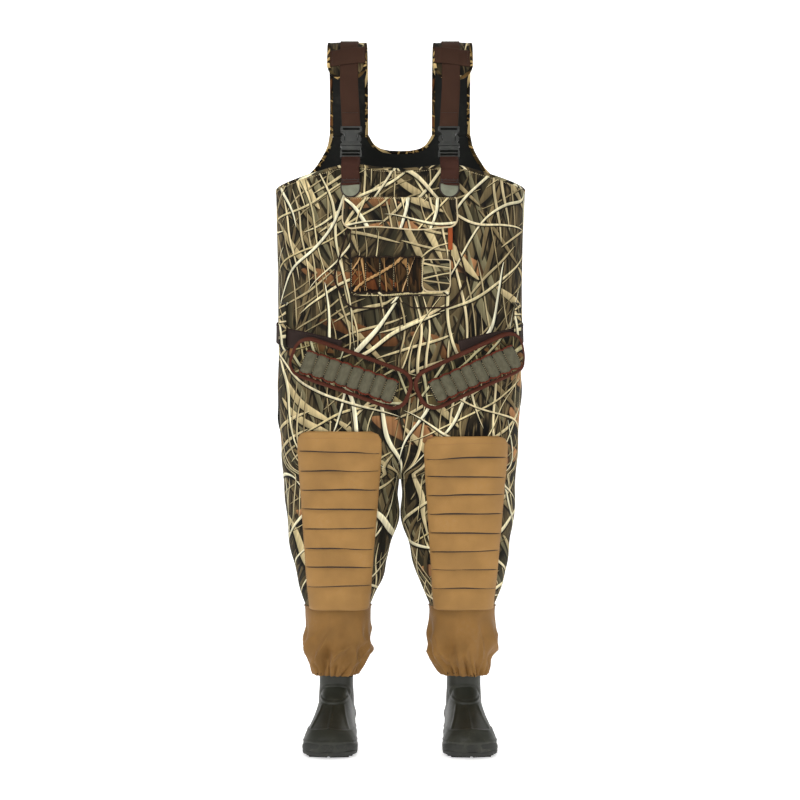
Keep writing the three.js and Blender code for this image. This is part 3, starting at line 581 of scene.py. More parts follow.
# Edge bindings: a folded strip of stretch tape sewn over every raw edge of the bib and the neckline.
def sweep(name, path, normals, profile, materials, widths=None, closed=False):
    path, normals = np.asarray(path, float), np.asarray(normals, float)
    count = len(path)
    if closed:
        tangents = np.roll(path, -1, 0) - np.roll(path, 1, 0)
    else:
        tangents = np.gradient(path, axis=0)
    tangents /= np.maximum(np.linalg.norm(tangents, axis=1, keepdims=True), 1e-9)
    normals = normals - tangents * (normals * tangents).sum(1, keepdims=True)
    normals /= np.maximum(np.linalg.norm(normals, axis=1, keepdims=True), 1e-9)
    sides = np.cross(tangents, normals)
    profile = np.asarray(profile, float)
    widths = np.ones(count) if widths is None else np.asarray(widths, float)
    arc = np.r_[0, np.cumsum(np.linalg.norm(np.diff(path, axis=0), axis=1))]
    girth = np.r_[0, np.cumsum(np.linalg.norm(np.diff(profile, axis=0), axis=1))]
    around = len(profile)
    points = (path[:, None] + sides[:, None] * profile[None, :, :1] * widths[:, None, None]
              + normals[:, None] * profile[None, :, 1:])
    uv = np.stack(np.meshgrid(profile[:, 0] + girth * 0.2, arc), -1).reshape(-1, 2)
    faces = []
    for r in range(count - (0 if closed else 1)):
        n = (r + 1) % count
        for c in range(around):
            d = (c + 1) % around
            faces.append((r * around + c, n * around + c, n * around + d, r * around + d))
    if not closed:
        faces += [tuple(range(around)), tuple(range(count * around - 1, (count - 1) * around - 1, -1))]
    return mesh_object(name, points.reshape(-1, 3), faces, materials, uv=uv)


def oval_profile(width, thickness, count=12, power=1.0):
    angles = np.linspace(0, 2 * math.pi, count, endpoint=False)
    c, s = np.cos(angles), np.sin(angles)
    return np.stack([np.sign(c) * np.abs(c) ** power * width / 2,
                     np.sign(s) * np.abs(s) ** power * thickness / 2], 1)


# Flat strip whose outer face is from first to last, with softened edges. Its lower face is at 0.
def strip_profile(width, thickness):
    across = np.linspace(-width / 2 + thickness * 0.4, width / 2 - thickness * 0.4, 8)
    top = [(a, thickness) for a in across]
    low = [(a, 0) for a in across[::-1]]
    edge = thickness * 0.5
    return np.array([(-width / 2, edge)] + top + [(width / 2, edge)] + low)


def dashes(name, path, normals, material, stitch=0.0032, gap=0.0014, radius=0.00035, lift=0.0):
    path, normals = np.asarray(path, float), np.asarray(normals, float)
    arc = np.r_[0, np.cumsum(np.linalg.norm(np.diff(path, axis=0), axis=1))]
    starts = np.arange(0.0005, arc[-1] - stitch, stitch + gap)
    pick = lambda s, table: np.array([np.interp(s, arc, table[:, k]) for k in range(3)])
    points, faces = [], []
    for start in starts:
        ends = [pick(start + stitch * t, path) for t in (0, 0.3, 0.7, 1)]
        up = pick(start + stitch / 2, normals)
        up /= np.linalg.norm(up)
        aim = ends[-1] - ends[0]
        aim /= max(np.linalg.norm(aim), 1e-9)
        side = np.cross(aim, up)
        first = len(points)
        for end, size, rise in zip(ends, (0.35, 1, 1, 0.35), (-0.7, 0.5, 0.5, -0.7)):
            middle = end + up * (lift + radius * rise)
            for k in range(5):
                a = k * 2 * math.pi / 5
                points.append(middle + (side * math.cos(a) * 1.3 + up * math.sin(a)) * radius * size)
        for r in range(3):
            for k in range(5):
                n = (k + 1) % 5
                a, b = first + r * 5, first + (r + 1) * 5
                faces.append((a + k, a + n, b + n, b + k))
        faces += [tuple(first + k for k in range(4, -1, -1)), tuple(first + 15 + k for k in range(5))]
    return mesh_object(name, points, faces, [material])


binding = cloth_material("printed binding tape", roughness=0.9, pitch=0.0018, depth=0.0006,
                         thread_painted_shade=1.6,
                         tint=(232, 208, 172))
pale_thread = plain_material("pale thread", linear(196, 176, 132)[:3], 0.7)
dark_thread = plain_material("dark thread", linear(40, 28, 22)[:3], 0.7)


def top_edge(part):
    grid, _ = body_panel(part)
    normals = grid_normals(grid)
    return grid[-1] - normals[-1] * 0.0025, normals[-1]


front_edge, front_edge_normals = top_edge("front")
piece = sweep("front_binding", front_edge, front_edge_normals, oval_profile(0.007, 0.0075, 12, 0.8),
              [jersey])
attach(piece, "torso")
piece = dashes("front_binding_stitches", front_edge - (0, 0, 0.0052), front_edge_normals, pale_thread,
               lift=0.0028)
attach(piece, "torso")
back_edge, back_edge_normals = top_edge("back")
inner = np.abs(back_edge[:, 0]) < STRAP_INNER
outer = np.abs(back_edge[:, 0]) > STRAP_OUTER
for name, keep in (("neck", inner), ("left_armhole", outer & (back_edge[:, 0] > 0)),
                   ("right_armhole", outer & (back_edge[:, 0] < 0))):
    path, ups = back_edge[keep], back_edge_normals[keep]
    for end in (0, -1):
        if abs(path[end][0]) < 0.17:
            root_side = STRAP_INNER if name == "neck" else STRAP_OUTER
            corner = (math.copysign(root_side, path[end][0]), path[end][1] - 0.001, SOLE + 1.338)
            path = np.insert(path, len(path) if end else 0, corner, 0)
            ups = np.insert(ups, len(ups) if end else 0, ups[end], 0)
    piece = sweep(f"{name}_binding", path, ups, oval_profile(0.008, 0.008, 12, 0.8), [binding])
    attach(piece, "torso")


# Shoulder straps: the same neoprene, cut as one with the back panel and bent over the shoulder, with
# a rounded front end. The printed face is outside and the black lining rests on the shoulder.
STRAP_X, STRAP_WIDTH, STRAP_THICK, TIP_RADIUS = 0.114, 0.077, 0.006, 0.034


def bezier(a, b, c, d, count):
    t = np.linspace(0, 1, count)[:, None]
    a, b, c, d = (np.array(p, float) for p in (a, b, c, d))
    return a * (1 - t) ** 3 + 3 * b * t * (1 - t) ** 2 + 3 * c * t**2 * (1 - t) + d * t**3


strap_rise = bezier((0.1345, 1.333), (0.1345, 1.440), (0.086, 1.513), (0.030, 1.513), 40)
strap_fall = bezier((0.0, 1.513), (-0.030, 1.513), (-0.046, 1.480), (-0.054, 1.432), 34)
strap_line = np.concatenate([strap_rise, np.linspace((0.024, 1.513), (0.006, 1.513), 4), strap_fall])
strap_line = even_points(strap_line, 110)


def in_space(line, x):
    return np.c_[np.full(len(line), x), line[:, 0], line[:, 1] + SOLE]


def outward(line):
    tangent = np.gradient(line, axis=0)
    tangent /= np.linalg.norm(tangent, axis=1, keepdims=True)
    return np.c_[np.zeros(len(line)), -tangent[:, 1], tangent[:, 0]] * (1, -1, -1)


strap_out = outward(strap_line)
if strap_out[60][2] < 0:
    strap_out = -strap_out
from_tip = np.r_[np.cumsum(np.linalg.norm(np.diff(strap_line[::-1], axis=0), axis=1))[::-1], 0]
tip = np.clip(TIP_RADIUS - from_tip, 0, TIP_RADIUS)
strap_half = STRAP_WIDTH / 2 - TIP_RADIUS + np.sqrt(np.maximum(TIP_RADIUS**2 - tip**2, 0)) + 0.0005
back_face = (back_edge + back_edge_normals * 0.0025)[np.argsort(back_edge[:, 0])]
for name, side in (("left", 1), ("right", -1)):
    middle = in_space(strap_line, side * STRAP_X)
    columns = np.linspace(-1, 1, 15)
    shift = strap_half[:, None] * columns[None]
    grid = middle[:, None] + shift[..., None] * np.array([1, 0, 0]) + strap_out[:, None] * STRAP_THICK
    sag = 0.0016 * (1 - columns**2)[None, :, None] * strap_out[:, None]
    grid = grid + sag
    # The root takes on the back panel's curve, a little proud of it where the two lap.
    root = np.clip((1.426 - (grid[..., 2] - SOLE)) / 0.085, 0, 1) * (grid[..., 1] > 0.05)
    root = root * root * (3 - 2 * root)
    panel_y = np.interp(grid[..., 0], back_face[:, 0], back_face[:, 1]) + 0.0005
    grid[..., 1] += (panel_y - grid[..., 1]) * root
    arc = np.r_[0, np.cumsum(np.linalg.norm(np.diff(strap_line, axis=0), axis=1))]
    uv = np.stack([grid[..., 0] + 0.3 * side, np.repeat(arc[:, None] + 1.336, 15, 1)], -1)
    strap = cloth(f"{name}_strap", grid[:, ::-1], uv[:, ::-1], STRAP_THICK, [jersey, lining],
                  normals=np.repeat(strap_out[:, None], 15, 1))
    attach(strap, "torso")
    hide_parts(f"{name}_shoulder_strap")
    outer_run = grid[:, -1] - strap_out * 0.003
    inner_run = grid[::-1, 0] - strap_out[::-1] * 0.003
    ring = np.concatenate([outer_run, inner_run])
    ups = np.concatenate([strap_out, strap_out[::-1]])
    piece = sweep(f"{name}_strap_binding", ring, ups, oval_profile(0.0075, 0.0082, 12, 0.8), [binding])
    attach(piece, "torso")


# Strap webbing: 38 mm brown webbing sewn along the strap's crest, held down by a wider keeper band,
# hanging from there to the buckle, round the socket's bar and back on itself to a bar tack.
WEB_X, WEB_WIDTH = 0.103, 0.039
webbing = cloth_material("brown webbing", (64, 42, 31), roughness=0.8, pitch=0.0026, stretch=0.8,
                         depth=0.0007,
                         thread_painted_shade=1.6)
tab_webbing = cloth_material("red brown webbing", (64, 38, 29), roughness=0.8, pitch=0.0026, stretch=0.8,
                             depth=0.0007, thread_painted_shade=1.6)
drop_top, drop_foot = np.array((-0.064, 1.430)), np.array((-0.1415, 1.229))
drop_way = (drop_top - drop_foot) / np.linalg.norm(drop_top - drop_foot)
drop_out = np.array((0, -drop_way[1], drop_way[0]))
MATING, SOCKET_TOP = 0.054, 0.100


def along_drop(distance):
    return drop_foot + drop_way * distance


# The hanging webbing rides on the torso, each piece with a mesh of its own.
def give_way(piece):
    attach(piece, "torso")
    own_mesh(piece)


for name, side in (("left", 1), ("right", -1)):
    lean = 0.006 * side  # the webbing is a little further out at the shoulder
    crest = even_points(np.concatenate([strap_rise[-9:], strap_fall[:20]]), 40)
    ups = outward(crest)
    ups = ups if ups[20][2] > 0 else -ups
    path = in_space(crest, side * WEB_X + lean) + ups * (STRAP_THICK + 0.0022)
    piece = sweep(f"{name}_shoulder_webbing_run", path, ups, strip_profile(WEB_WIDTH, 0.0018), [webbing])
    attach(piece, "torso")
    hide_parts(f"{name}_shoulder_webbing")
    ends = dashes(f"{name}_crest_stitches", [path[1] + (x, 0, 0) for x in (-0.016, 0.016)], ups[[1, 1]],
                  dark_thread,
                  lift=0.0019)
    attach(ends, "torso")

    band_line = even_points(strap_fall[15:27], 12)
    ups = outward(band_line)
    ups = ups if ups[5][1] < 0 else -ups
    rows = []
    for i, x in enumerate(np.linspace(-0.040, 0.036, 17)):
        over = 0.0024 if abs(x + 0.009) < WEB_WIDTH / 2 + 0.002 else 0.0
        tilt = np.array((0, 0, -0.0045 * x / 0.038))
        rows.append(in_space(band_line, side * (STRAP_X + x)) + tilt + ups * (STRAP_THICK + 0.0042 + over))
    grid = np.array(rows).transpose(1, 0, 2)
    grid = grid if side > 0 else grid[:, ::-1]
    band_uv = np.stack([grid[..., 2], grid[..., 0]], -1)
    band_ups = np.repeat(ups[:, None], 17, 1)
    piece = cloth(f"{name}_keeper", grid[::-1], band_uv[::-1], 0.002, [webbing, webbing],
                  normals=band_ups[::-1])
    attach(piece, "torso")
    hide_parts(f"{name}_webbing_keeper")
    for k, column in enumerate((1, -2)):
        piece = dashes(f"{name}_keeper_stitches_{k}", grid[1:-1, column], band_ups[1:-1, column],
                       dark_thread, lift=0.0001)
        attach(piece, "torso")

    start = in_space(even_points(strap_fall[20:], 12), side * WEB_X + lean)
    ups = outward(even_points(strap_fall[20:], 12))
    ups = ups if ups[5][1] < 0 else -ups
    start = start + ups * (STRAP_THICK + 0.0016)
    end = np.array([(side * WEB_X, *along_drop(d)) for d in np.linspace(0.196, SOCKET_TOP - 0.002, 26)])
    end[:, 2] += SOLE
    end[:, 0] += lean * np.linspace(0.95, 0.0, 26)
    turn = [end[-1] + np.array((0, 0.0022 * math.cos(a), 0)) - np.array((0, *drop_way)) * 0.003
            * math.sin(a)
            for a in np.linspace(0.2, math.pi - 0.2, 6)]
    back = end[::-1][:13] + np.array((0, 0.0032, 0.0))
    path = np.concatenate([start[:-1], end, back[1:]])
    ups = np.concatenate([ups[:-1], np.repeat([drop_out], 26, 0), np.repeat([drop_out], 12, 0)])
    piece = sweep(f"{name}_hanging_webbing", np.concatenate([start[:-1], end]),
                  ups[:len(start) - 1 + 26], strip_profile(WEB_WIDTH, 0.0018), [webbing])
    give_way(piece)
    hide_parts(f"{name}_drop_webbing")
    tail = sweep(f"{name}_webbing_return", back[1:], ups[-12:], strip_profile(WEB_WIDTH, 0.0018), [webbing])
    give_way(tail)
    tack = end[-10] + drop_out * 0.0019
    piece = dashes(f"{name}_bar_tack", [tack + (x, 0, 0) for x in (-0.0175, 0.0175)], [drop_out] * 2,
                   dark_thread,
                   stitch=0.0022, gap=0.0004, radius=0.0005)
    give_way(piece)


# Side-release buckles, moulded acetal: the socket above takes two sprung prongs of the plug below it.
acetal = cloth_material("buckle acetal", (48, 49, 46), roughness=0.42, pitch=0.0007, depth=0.00005,
                        coordinates="Object",
                        size=60, thread_painted_shade=0.1)


def rounded(x0, x1, z0, z1, radius, count=4):
    points = []
    for cx, cz, first in ((x1 - radius, z0 + radius, -90), (x1 - radius, z1 - radius, 0),
                          (x0 + radius, z1 - radius, 90), (x0 + radius, z0 + radius, 180)):
        for a in np.linspace(math.radians(first), math.radians(first + 90), count + 1):
            points.append((cx + radius * math.cos(a), cz + radius * math.sin(a)))
    return points


# A moulded plate with holes, from outlines in the plate's own plane, between two depths.
def plate(outlines, low, high, bevel):
    curve = bpy.data.curves.new("plate", "CURVE")
    curve.dimensions = "2D"
    curve.fill_mode = "BOTH"
    curve.extrude = (high - low) / 2 - bevel
    curve.bevel_depth = bevel
    curve.bevel_resolution = 1
    curve.offset = -bevel
    for outline in outlines:
        spline = curve.splines.new("POLY")
        spline.points.add(len(outline) - 1)
        for point, (x, z) in zip(spline.points, outline):
            point.co = (x, z, 0, 1)
        spline.use_cyclic_u = True
    holder = bpy.data.objects.new("plate", curve)
    bpy.context.scene.collection.objects.link(holder)
    bpy.context.view_layer.update()
    data = bpy.data.meshes.new_from_object(holder.evaluated_get(bpy.context.evaluated_depsgraph_get()))
    bpy.data.objects.remove(holder)
    points = np.array([v.co for v in data.vertices])
    faces = [tuple(polygon.vertices) for polygon in data.polygons]
    bpy.data.meshes.remove(data)
    middle = (high + low) / 2
    return np.c_[points[:, 0], -(points[:, 2] + middle), points[:, 1]], faces


def joined(name, parts, material, place=None, smooth=False):
    points, faces, first = [], [], 0
    for some_points, some_faces in parts:
        points.append(np.asarray(some_points, float))
        faces += [tuple(i + first for i in face) for face in some_faces]
        first += len(some_points)
    points = np.concatenate(points)
    if place is not None:
        origin, axes = place
        points = origin + points @ np.array(axes, float)
    return mesh_object(name, points, faces, [material], smooth=smooth)


def buckle(prefix, place, plug_body, release_body):
    mm = 0.001
    scale = lambda outline: [(x * mm * 0.9, z * mm) for x, z in outline]
    frame_shape = [(-25, -28), (25, -28), (25, -14), (23, -9), (23, -4), (25, -0.5), (-25, -0.5), (-23, -4),
                   (-23, -9), (-25, -14)]
    slots = [rounded(-21, 21, -24, -19, 1.5), rounded(-21, 21, -16, -11, 1.5)]
    plug_parts = [
        plate([scale(frame_shape)] + [scale(s) for s in slots], -4.4 * mm, 4.4 * mm, 0.7 * mm),
        plate([scale(rounded(-4, 4, -2, 23, 1.5))], -2.0 * mm, 2.0 * mm, 0.4 * mm),
        plate([scale(rounded(-20, 20, -9, -3, 2))], 4.0 * mm, 5.0 * mm, 0.4 * mm),
    ]
    made = [joined(f"{prefix}_plug", plug_parts, acetal, place)]
    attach(made[0], plug_body)
    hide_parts(f"{prefix}_buckle_plug")
    waist = [(25, 0.4), (25, 3), (22, 6), (16.5, 9), (14.6, 13), (14.2, 19), (15, 25), (17, 29), (21, 32),
             (25, 34),
             (25, 43.5), (23.5, 46)]
    shell = waist + [(-x, z) for x, z in waist[::-1]]
    ribs = [plate([scale(rounded(-14, 14, z, z + 1.4, 0.6))], 4.2 * mm, 5.0 * mm, 0.3 * mm) for z in (3, 6)]
    socket_parts = [
        plate([scale(shell), scale(rounded(-20, 20, 37, 42, 1.5))], -4.5 * mm, 4.5 * mm, 0.9 * mm),
        plate([scale(rounded(-12, 12, 8, 33, 4))], 4.2 * mm, 5.1 * mm, 0.5 * mm),
        *ribs,
    ]
    made.append(joined(f"{prefix}_socket", socket_parts, acetal, place))
    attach(made[1], release_body)
    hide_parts(f"{prefix}_buckle_socket")
    for letter, way in (("a", 1), ("b", -1)):
        arm = [(12.5, 0), (17.5, 0), (19.4, 9), (22.2, 12), (23.6, 16), (23.4, 21), (21.4, 25), (18.6, 27),
               (16.6, 25),
               (16.2, 14), (14.6, 8)]
        arm = [(x * way, z) for x, z in (arm if way > 0 else arm[::-1])]
        grips = [plate([scale(rounded(*sorted((19.5 * way, 24.1 * way)), z, z + 1.1, 0.5))], -2.4 * mm,
                       2.4 * mm, 0.3 * mm)
                 for z in (14, 16.5, 19)]
        prong = joined(f"{prefix}_prong_{letter}", [plate([scale(arm)], -1.9 * mm, 1.9 * mm, 0.5 * mm),
                                                    *grips], acetal, place)
        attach(prong, f"{prefix}_prong_{letter}_arm")
        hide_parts(f"{prefix}_buckle_prong_{letter}")
        made.append(prong)


for name, side in (("left", 1), ("right", -1)):
    y, z = along_drop(MATING)
    axes = ((1, 0, 0), (0, drop_way[1], -drop_way[0]), (0, drop_way[0], drop_way[1]))
    buckle(name, (np.array((side * WEB_X, y, z + SOLE)), axes), "torso", f"{name}_socket")


# Strap tabs: doubled webbing from the plug's lower bar down over the bib's edge, sewn through a
# box and cross, with a small rounded patch under its folded end.

bpy.context.view_layer.update()
front_skin = BVHTree.FromPolygons(
    [v.co.copy() for v in bpy.data.objects["front_panel"].data.vertices],
    [tuple(f.vertices) for f in bpy.data.objects["front_panel"].data.polygons],
)


# Point on the bib's or the hips' front, and the cloth's normal there. Heights are above the soles.
def on_front(x, z, offset=0.0):
    z = z + SOLE
    found = [front_skin.ray_cast(Vector((x + dx, -1, z + dz)), Vector((0, 1, 0)))
             for dx, dz in ((0, 0), (0.012, 0), (-0.012, 0), (0, 0.012), (0, -0.012))]
    hit = found[0]
    if hit[0] is None:
        near = front_skin.find_nearest(Vector((x, -0.15, z)))
        return np.array(near[0]) + np.array((0, -offset, 0)), np.array((0, -1.0, 0))
    normal = np.mean([np.array(f[1]) for f in found if f[0] is not None], 0)
    normal = normal if normal[1] < 0 else -normal
    normal /= np.linalg.norm(normal)
    return np.array(hit[0]) + normal * offset, normal


def patch_grid(rows, offset, puff=0.0, spin=0.0):
    points, normals = [], []
    for i, (z, left, right) in enumerate(rows):
        v = i / (len(rows) - 1)
        line, ups = [], []
        for u in np.linspace(0, 1, 33):
            point, normal = on_front(left + (right - left) * u, z, 0)
            swell = puff * min(1, 5 * u, 5 * (1 - u)) ** 0.7 * min(1, 4 * v, 4 * (1 - v)) ** 0.7
            line.append(point + normal * (offset + swell))
            ups.append(normal)
        points.append(line)
        normals.append(ups)
    grid, normals = np.array(points), np.array(normals)
    uv = grid[..., [0, 2]] - (0, SOLE)
    c, s = math.cos(spin), math.sin(spin)
    return grid, uv @ np.array(((c, s), (-s, c))) + spin, normals


# Rows of a patch between two heights with corners rounded off, from functions for its two sides.
def rounded_rows(low, high, left, right, corner_low=0.012, corner_high=0.004, count=22):
    rows = []
    for z in low + (high - low) * (0.5 - 0.5 * np.cos(np.linspace(0, math.pi, count))):
        inset = 0
        for gap, corner in ((z - low, corner_low), (high - z, corner_high)):
            if gap < corner:
                inset = max(inset, corner - math.sqrt(max(corner**2 - (corner - gap) ** 2, 0)))
        rows.append((z, left(z) + inset, right(z) - inset))
    return rows


def border(grid, normals):
    loop = np.concatenate([grid[0], grid[1:, -1], grid[-1, -2::-1], grid[-2:0:-1, 0]])
    ups = np.concatenate([normals[0], normals[1:, -1], normals[-1, -2::-1], normals[-2:0:-1, 0]])
    return loop, ups


def flat(value):
    return lambda z: value


patch_cloth = cloth_material("patch cloth", (128, 130, 112), roughness=0.85, size=70, thread_painted_shade=2.0)
for name, side in (("left", 1), ("right", -1)):
    tab_line = [along_drop(0.0305), along_drop(0.027), (-0.1475, 1.247), (-0.1555, 1.2395)]
    path = [np.array((side * WEB_X, y, z + SOLE)) for y, z in tab_line]
    ups = [drop_out, drop_out, np.array((0, -0.85, 0.5)), np.array((0, -0.97, 0.25))]
    for z in np.linspace(1.232, 1.198, 9):
        point, normal = on_front(side * WEB_X, z, 0.0012 + 0.0062 * min(max((z - 1.208) / 0.018, 0), 1))
        path.append(point)
        ups.append(normal)
    path, ups = np.array(path), np.array(ups)
    low = sweep(f"{name}_tab", path[::-1], ups[::-1], strip_profile(WEB_WIDTH, 0.0034), [tab_webbing])
    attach(low, "torso")
    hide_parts(f"{name}_strap_tab")
    corners = {}
    for x in (-0.0165, 0.0165):
        for z in (1.201, 1.228):
            corners[x, z] = on_front(side * WEB_X + x, z, 0.0048)
    seams = [((-1, 0), (1, 0)), ((1, 0), (1, 1)), ((1, 1), (-1, 1)), ((-1, 1), (-1, 0)), ((-1, 0), (1, 1)),
             ((1, 0), (-1, 1))]
    for k, ends in enumerate(seams):
        (a, na), (b, nb) = (corners[0.0165 * x, (1.201, 1.228)[z]] for x, z in ends)
        piece = dashes(f"{name}_tab_seam_{k}", [a, b], [na, nb], dark_thread, radius=0.0006, lift=0.0002)
        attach(piece, "torso")
    fold_point, fold_normal = on_front(side * WEB_X, 1.1965, 0.0028)
    piece = sweep(f"{name}_tab_fold", [fold_point + (x, 0, 0) for x in (-0.0196, 0, 0.0196)],
                  [fold_normal] * 3,
                  oval_profile(0.0052, 0.0052), [tab_webbing])
    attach(piece, "torso")

    # Painted shade: dark strips across the tab where it bends onto the bib and above its folded end stand
    # for the shade in those creases.
    for k, z in enumerate((1.2370, 1.2055, 1.2005)):
        line = [on_front(side * WEB_X + x, min(z, 1.228), 0.0050 if k else 0.0105)
                for x in np.linspace(-0.0192, 0.0192, 7)]
        line = [(p + (0, 0, z - min(z, 1.228)), n) for p, n in line]
        piece = sweep(f"{name}_tab_crease_{k}", [p for p, n in line], [n for p, n in line],
                      oval_profile(0.0018, 0.0012),
                      [dark_thread])
        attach(piece, "torso")

    rows = []
    for z in 1.170 + 0.030 * (1 - np.cos(np.linspace(0.03, math.pi / 2, 9))):
        reach = math.sqrt(max(0.0195**2 - max(1.1895 - z, 0) ** 2, 0)) + 0.0005
        rows.append((z, side * WEB_X - reach, side * WEB_X + reach))
    grid, uv, ups = patch_grid(rows, 0.0026, 0.002, spin=0.9)
    piece = cloth(f"{name}_patch", grid, uv, 0.0024, [patch_cloth, dark_thread], normals=ups)
    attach(piece, "torso")
    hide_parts(f"{name}_tab_patch")
    loop = np.concatenate([grid[:0:-1, 0], grid[0], grid[1:, -1]])
    rim_ups = np.concatenate([ups[:0:-1, 0], ups[0], ups[1:, -1]])
    piece = sweep(f"{name}_patch_rim", loop, rim_ups, oval_profile(0.0030, 0.0042), [dark_thread])
    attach(piece, "torso")


# Chest pockets, sewn one on another: the hand-warmer pouch at the back with slanted hand openings,
# the cargo pocket with its flap on it, then the elastic shell loops and a small accessory pocket.
piping_pale = cloth_material("pale piping", (206, 188, 150), roughness=0.85, pitch=0.0014)
piping_dark = cloth_material("dark piping", (42, 32, 24), roughness=0.85, pitch=0.0014)
rust = cloth_material("rust trim", (150, 74, 38), roughness=0.85, pitch=0.0014)
jersey_bright = cloth_material("printed jersey, pockets", roughness=0.88, bright=1.12, sheen=0.08)


def sewn_patch(name, rows, offset, thickness, puff, edge, node_name, material=jersey, spin=0.0,
               edge_size=0.0026,
               notch=0.0):
    grid, uv, ups = patch_grid(rows, offset + thickness, puff, spin)
    lift = np.linspace(1, 0, len(rows))[:, None] ** 4
    grid[..., 2] += notch * np.exp(-(((grid[..., 0] + 0.002) / 0.021) ** 4)) * lift
    piece = cloth(name, grid, uv, thickness, [material, lining], normals=ups)
    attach(piece, "torso")
    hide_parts(node_name)
    loop, loop_ups = border(grid, ups)
    piped = sweep(f"{name}_piping", loop, loop_ups, oval_profile(edge_size, edge_size), [edge], closed=True)
    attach(piped, "torso")
    return grid, ups


pouch_side = lambda way: lambda z: way * float(np.interp(z, (0.937, 1.000, 1.112), (0.108, 0.139, 0.106)))
pouch_rows = rounded_rows(0.938, 1.112, pouch_side(-1), pouch_side(1), 0.016)
# The pouch's piping is real and dark; it is drawn wider than the rest so that it also stands for the shadow
# along the pouch's edge, a partly painted shadow.
sewn_patch("handwarmer_pouch", pouch_rows, 0.0004, 0.0024, 0.006, piping_dark, "handwarmer_pouch",
           edge_size=0.0042,
           notch=0.013)
cargo_rows = rounded_rows(0.962, 1.122, flat(-0.102), flat(0.104), 0.010)
cargo_grid, cargo_ups = sewn_patch("cargo_pocket", cargo_rows, 0.0050, 0.0024, 0.008, piping_dark,
                                   "cargo_pocket", jersey_bright, 0.5)

# The flap is free below its stitched top edge, so it rides on its own body.
flap_rows = rounded_rows(1.103, 1.168, flat(-0.117), flat(0.117), 0.020)
grid, uv, ups = patch_grid(flap_rows, 0.0062, 0.002, spin=-0.35)
over_pocket = np.clip((1.162 - (grid[..., 2] - SOLE)) / 0.036, 0, 1)
grid += ups * (0.0102 * over_pocket * over_pocket * (3 - 2 * over_pocket))[..., None]
sag = 0.0035 * np.sin(np.linspace(0, 7, 33)) * np.linspace(1, 0, len(flap_rows))[:, None]
grid[..., 2] += sag
flap = cloth("pocket_flap_cloth", grid, uv, 0.004, [jersey_bright, lining], normals=ups)
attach(flap, "flap")
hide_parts("pocket_flap")
loop = np.concatenate([grid[:0:-1, 0], grid[0],
                       grid[1:, -1]]) - np.concatenate([ups[:0:-1, 0], ups[0], ups[1:, -1]]) * 0.002
loop_ups = np.concatenate([ups[:0:-1, 0], ups[0], ups[1:, -1]])
piece = sweep("flap_binding", loop, loop_ups, oval_profile(0.0042, 0.0056), [piping_pale])
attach(piece, "flap")
for k, row in enumerate((-2, -4)):
    piece = dashes(f"flap_stitches_{k}", grid[row], ups[row], pale_thread, lift=0.0001)
    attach(piece, "flap")
rust_rows = rounded_rows(1.058, 1.108, flat(0.0985), flat(0.1075), 0.002)
grid, uv, ups = patch_grid(rust_rows, 0.0125, 0.001)
piece = cloth("cargo_tab", grid, uv, 0.002, [rust, rust], normals=ups)
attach(piece, "torso")
for k, row in enumerate((1, 2)):
    piece = dashes(f"cargo_stitches_{k}", cargo_grid[row], cargo_ups[row], dark_thread, lift=0.0001)
    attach(piece, "torso")
piece = sewn_patch("accessory_pocket", rounded_rows(0.972, 1.037, flat(0.046), flat(0.102), 0.014), 0.0120,
                   0.0022,
                   0.004, piping_pale, "accessory_pocket", jersey_bright, 1.9, 0.0032)


# Elastic loops for shells: one strip of elastic, bartacked at even steps so that it stands in arches. At
# each tack a dark strip of the lining's colour is painted shade in the gap between two loops.
def loop_strip(name, surface, a0, a1, b0, b1, count, height, base, materials, edge, bodies):
    columns, rows = 14 * count + 1, 9
    grid = np.empty((rows, columns, 3))
    ups = np.empty((rows, columns, 3))
    for r, b in enumerate(np.linspace(b0, b1, rows)):
        v = r / (rows - 1)
        for c, a in enumerate(np.linspace(a0, a1, columns)):
            share = (c / 14) % 1
            arch = abs(math.sin(math.pi * share)) ** 0.62 if 0 < c < columns - 1 else 0
            pucker = 0.0038 * arch * (1 if r == rows - 1 else -1 if r == 0 else 0)
            lean = 0.0008 * math.sin(c * 1.7)
            swell = height * arch * (0.86 + 0.14 * math.sin(math.pi * v))
            grid[r, c], ups[r, c] = surface(a, b + pucker + lean, base + swell)
    uv = np.stack(np.meshgrid(np.linspace(a0, a1, columns) * 1.6, np.linspace(b0, b1, rows)), -1)
    piece = cloth(name, grid, uv, 0.0016, materials, normals=ups)
    made = [piece]
    for k, row in enumerate((0, -1)):
        made.append(sweep(f"{name}_edge_{k}", grid[row], ups[row], oval_profile(0.0034, 0.0034), [edge]))
    for k in range(count + 1):
        seam = grid[1:-1, k * 14]
        made.append(dashes(f"{name}_tack_{k}", seam, ups[1:-1, k * 14], pale_thread, lift=0.0022))
        # Painted shade: a dark strip along each tack stands for the shade between two arches.
        made.append(sweep(f"{name}_gap_{k}", grid[:, k * 14], ups[:, k * 14], oval_profile(0.0042, 0.0046),
                          [lining]))
    for one in made:
        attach(one, bodies)
    return piece


chest_elastic = cloth_material("chest loop elastic", roughness=0.85, pitch=0.0022, depth=0.0006,
                               tint=(222, 186, 156),
                               thread_painted_shade=1.6)
loops = loop_strip("chest_loops", lambda a, b, h: on_front(a, b, h), -0.099, 0.045, 0.973, 1.040, 5, 0.0065,
                   0.0135,
                   [chest_elastic, lining], piping_dark, "torso")
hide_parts("chest_shell_loops")

# Seam down the middle of the front, under the pouch.
seam = [on_front(0.0, z, 0.0004) for z in np.linspace(0.935, 0.70, 40)]
piece = sweep("centre_seam", [p for p, n in seam], [n for p, n in seam], oval_profile(0.0022, 0.0014),
              [piping_dark])
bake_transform(piece)


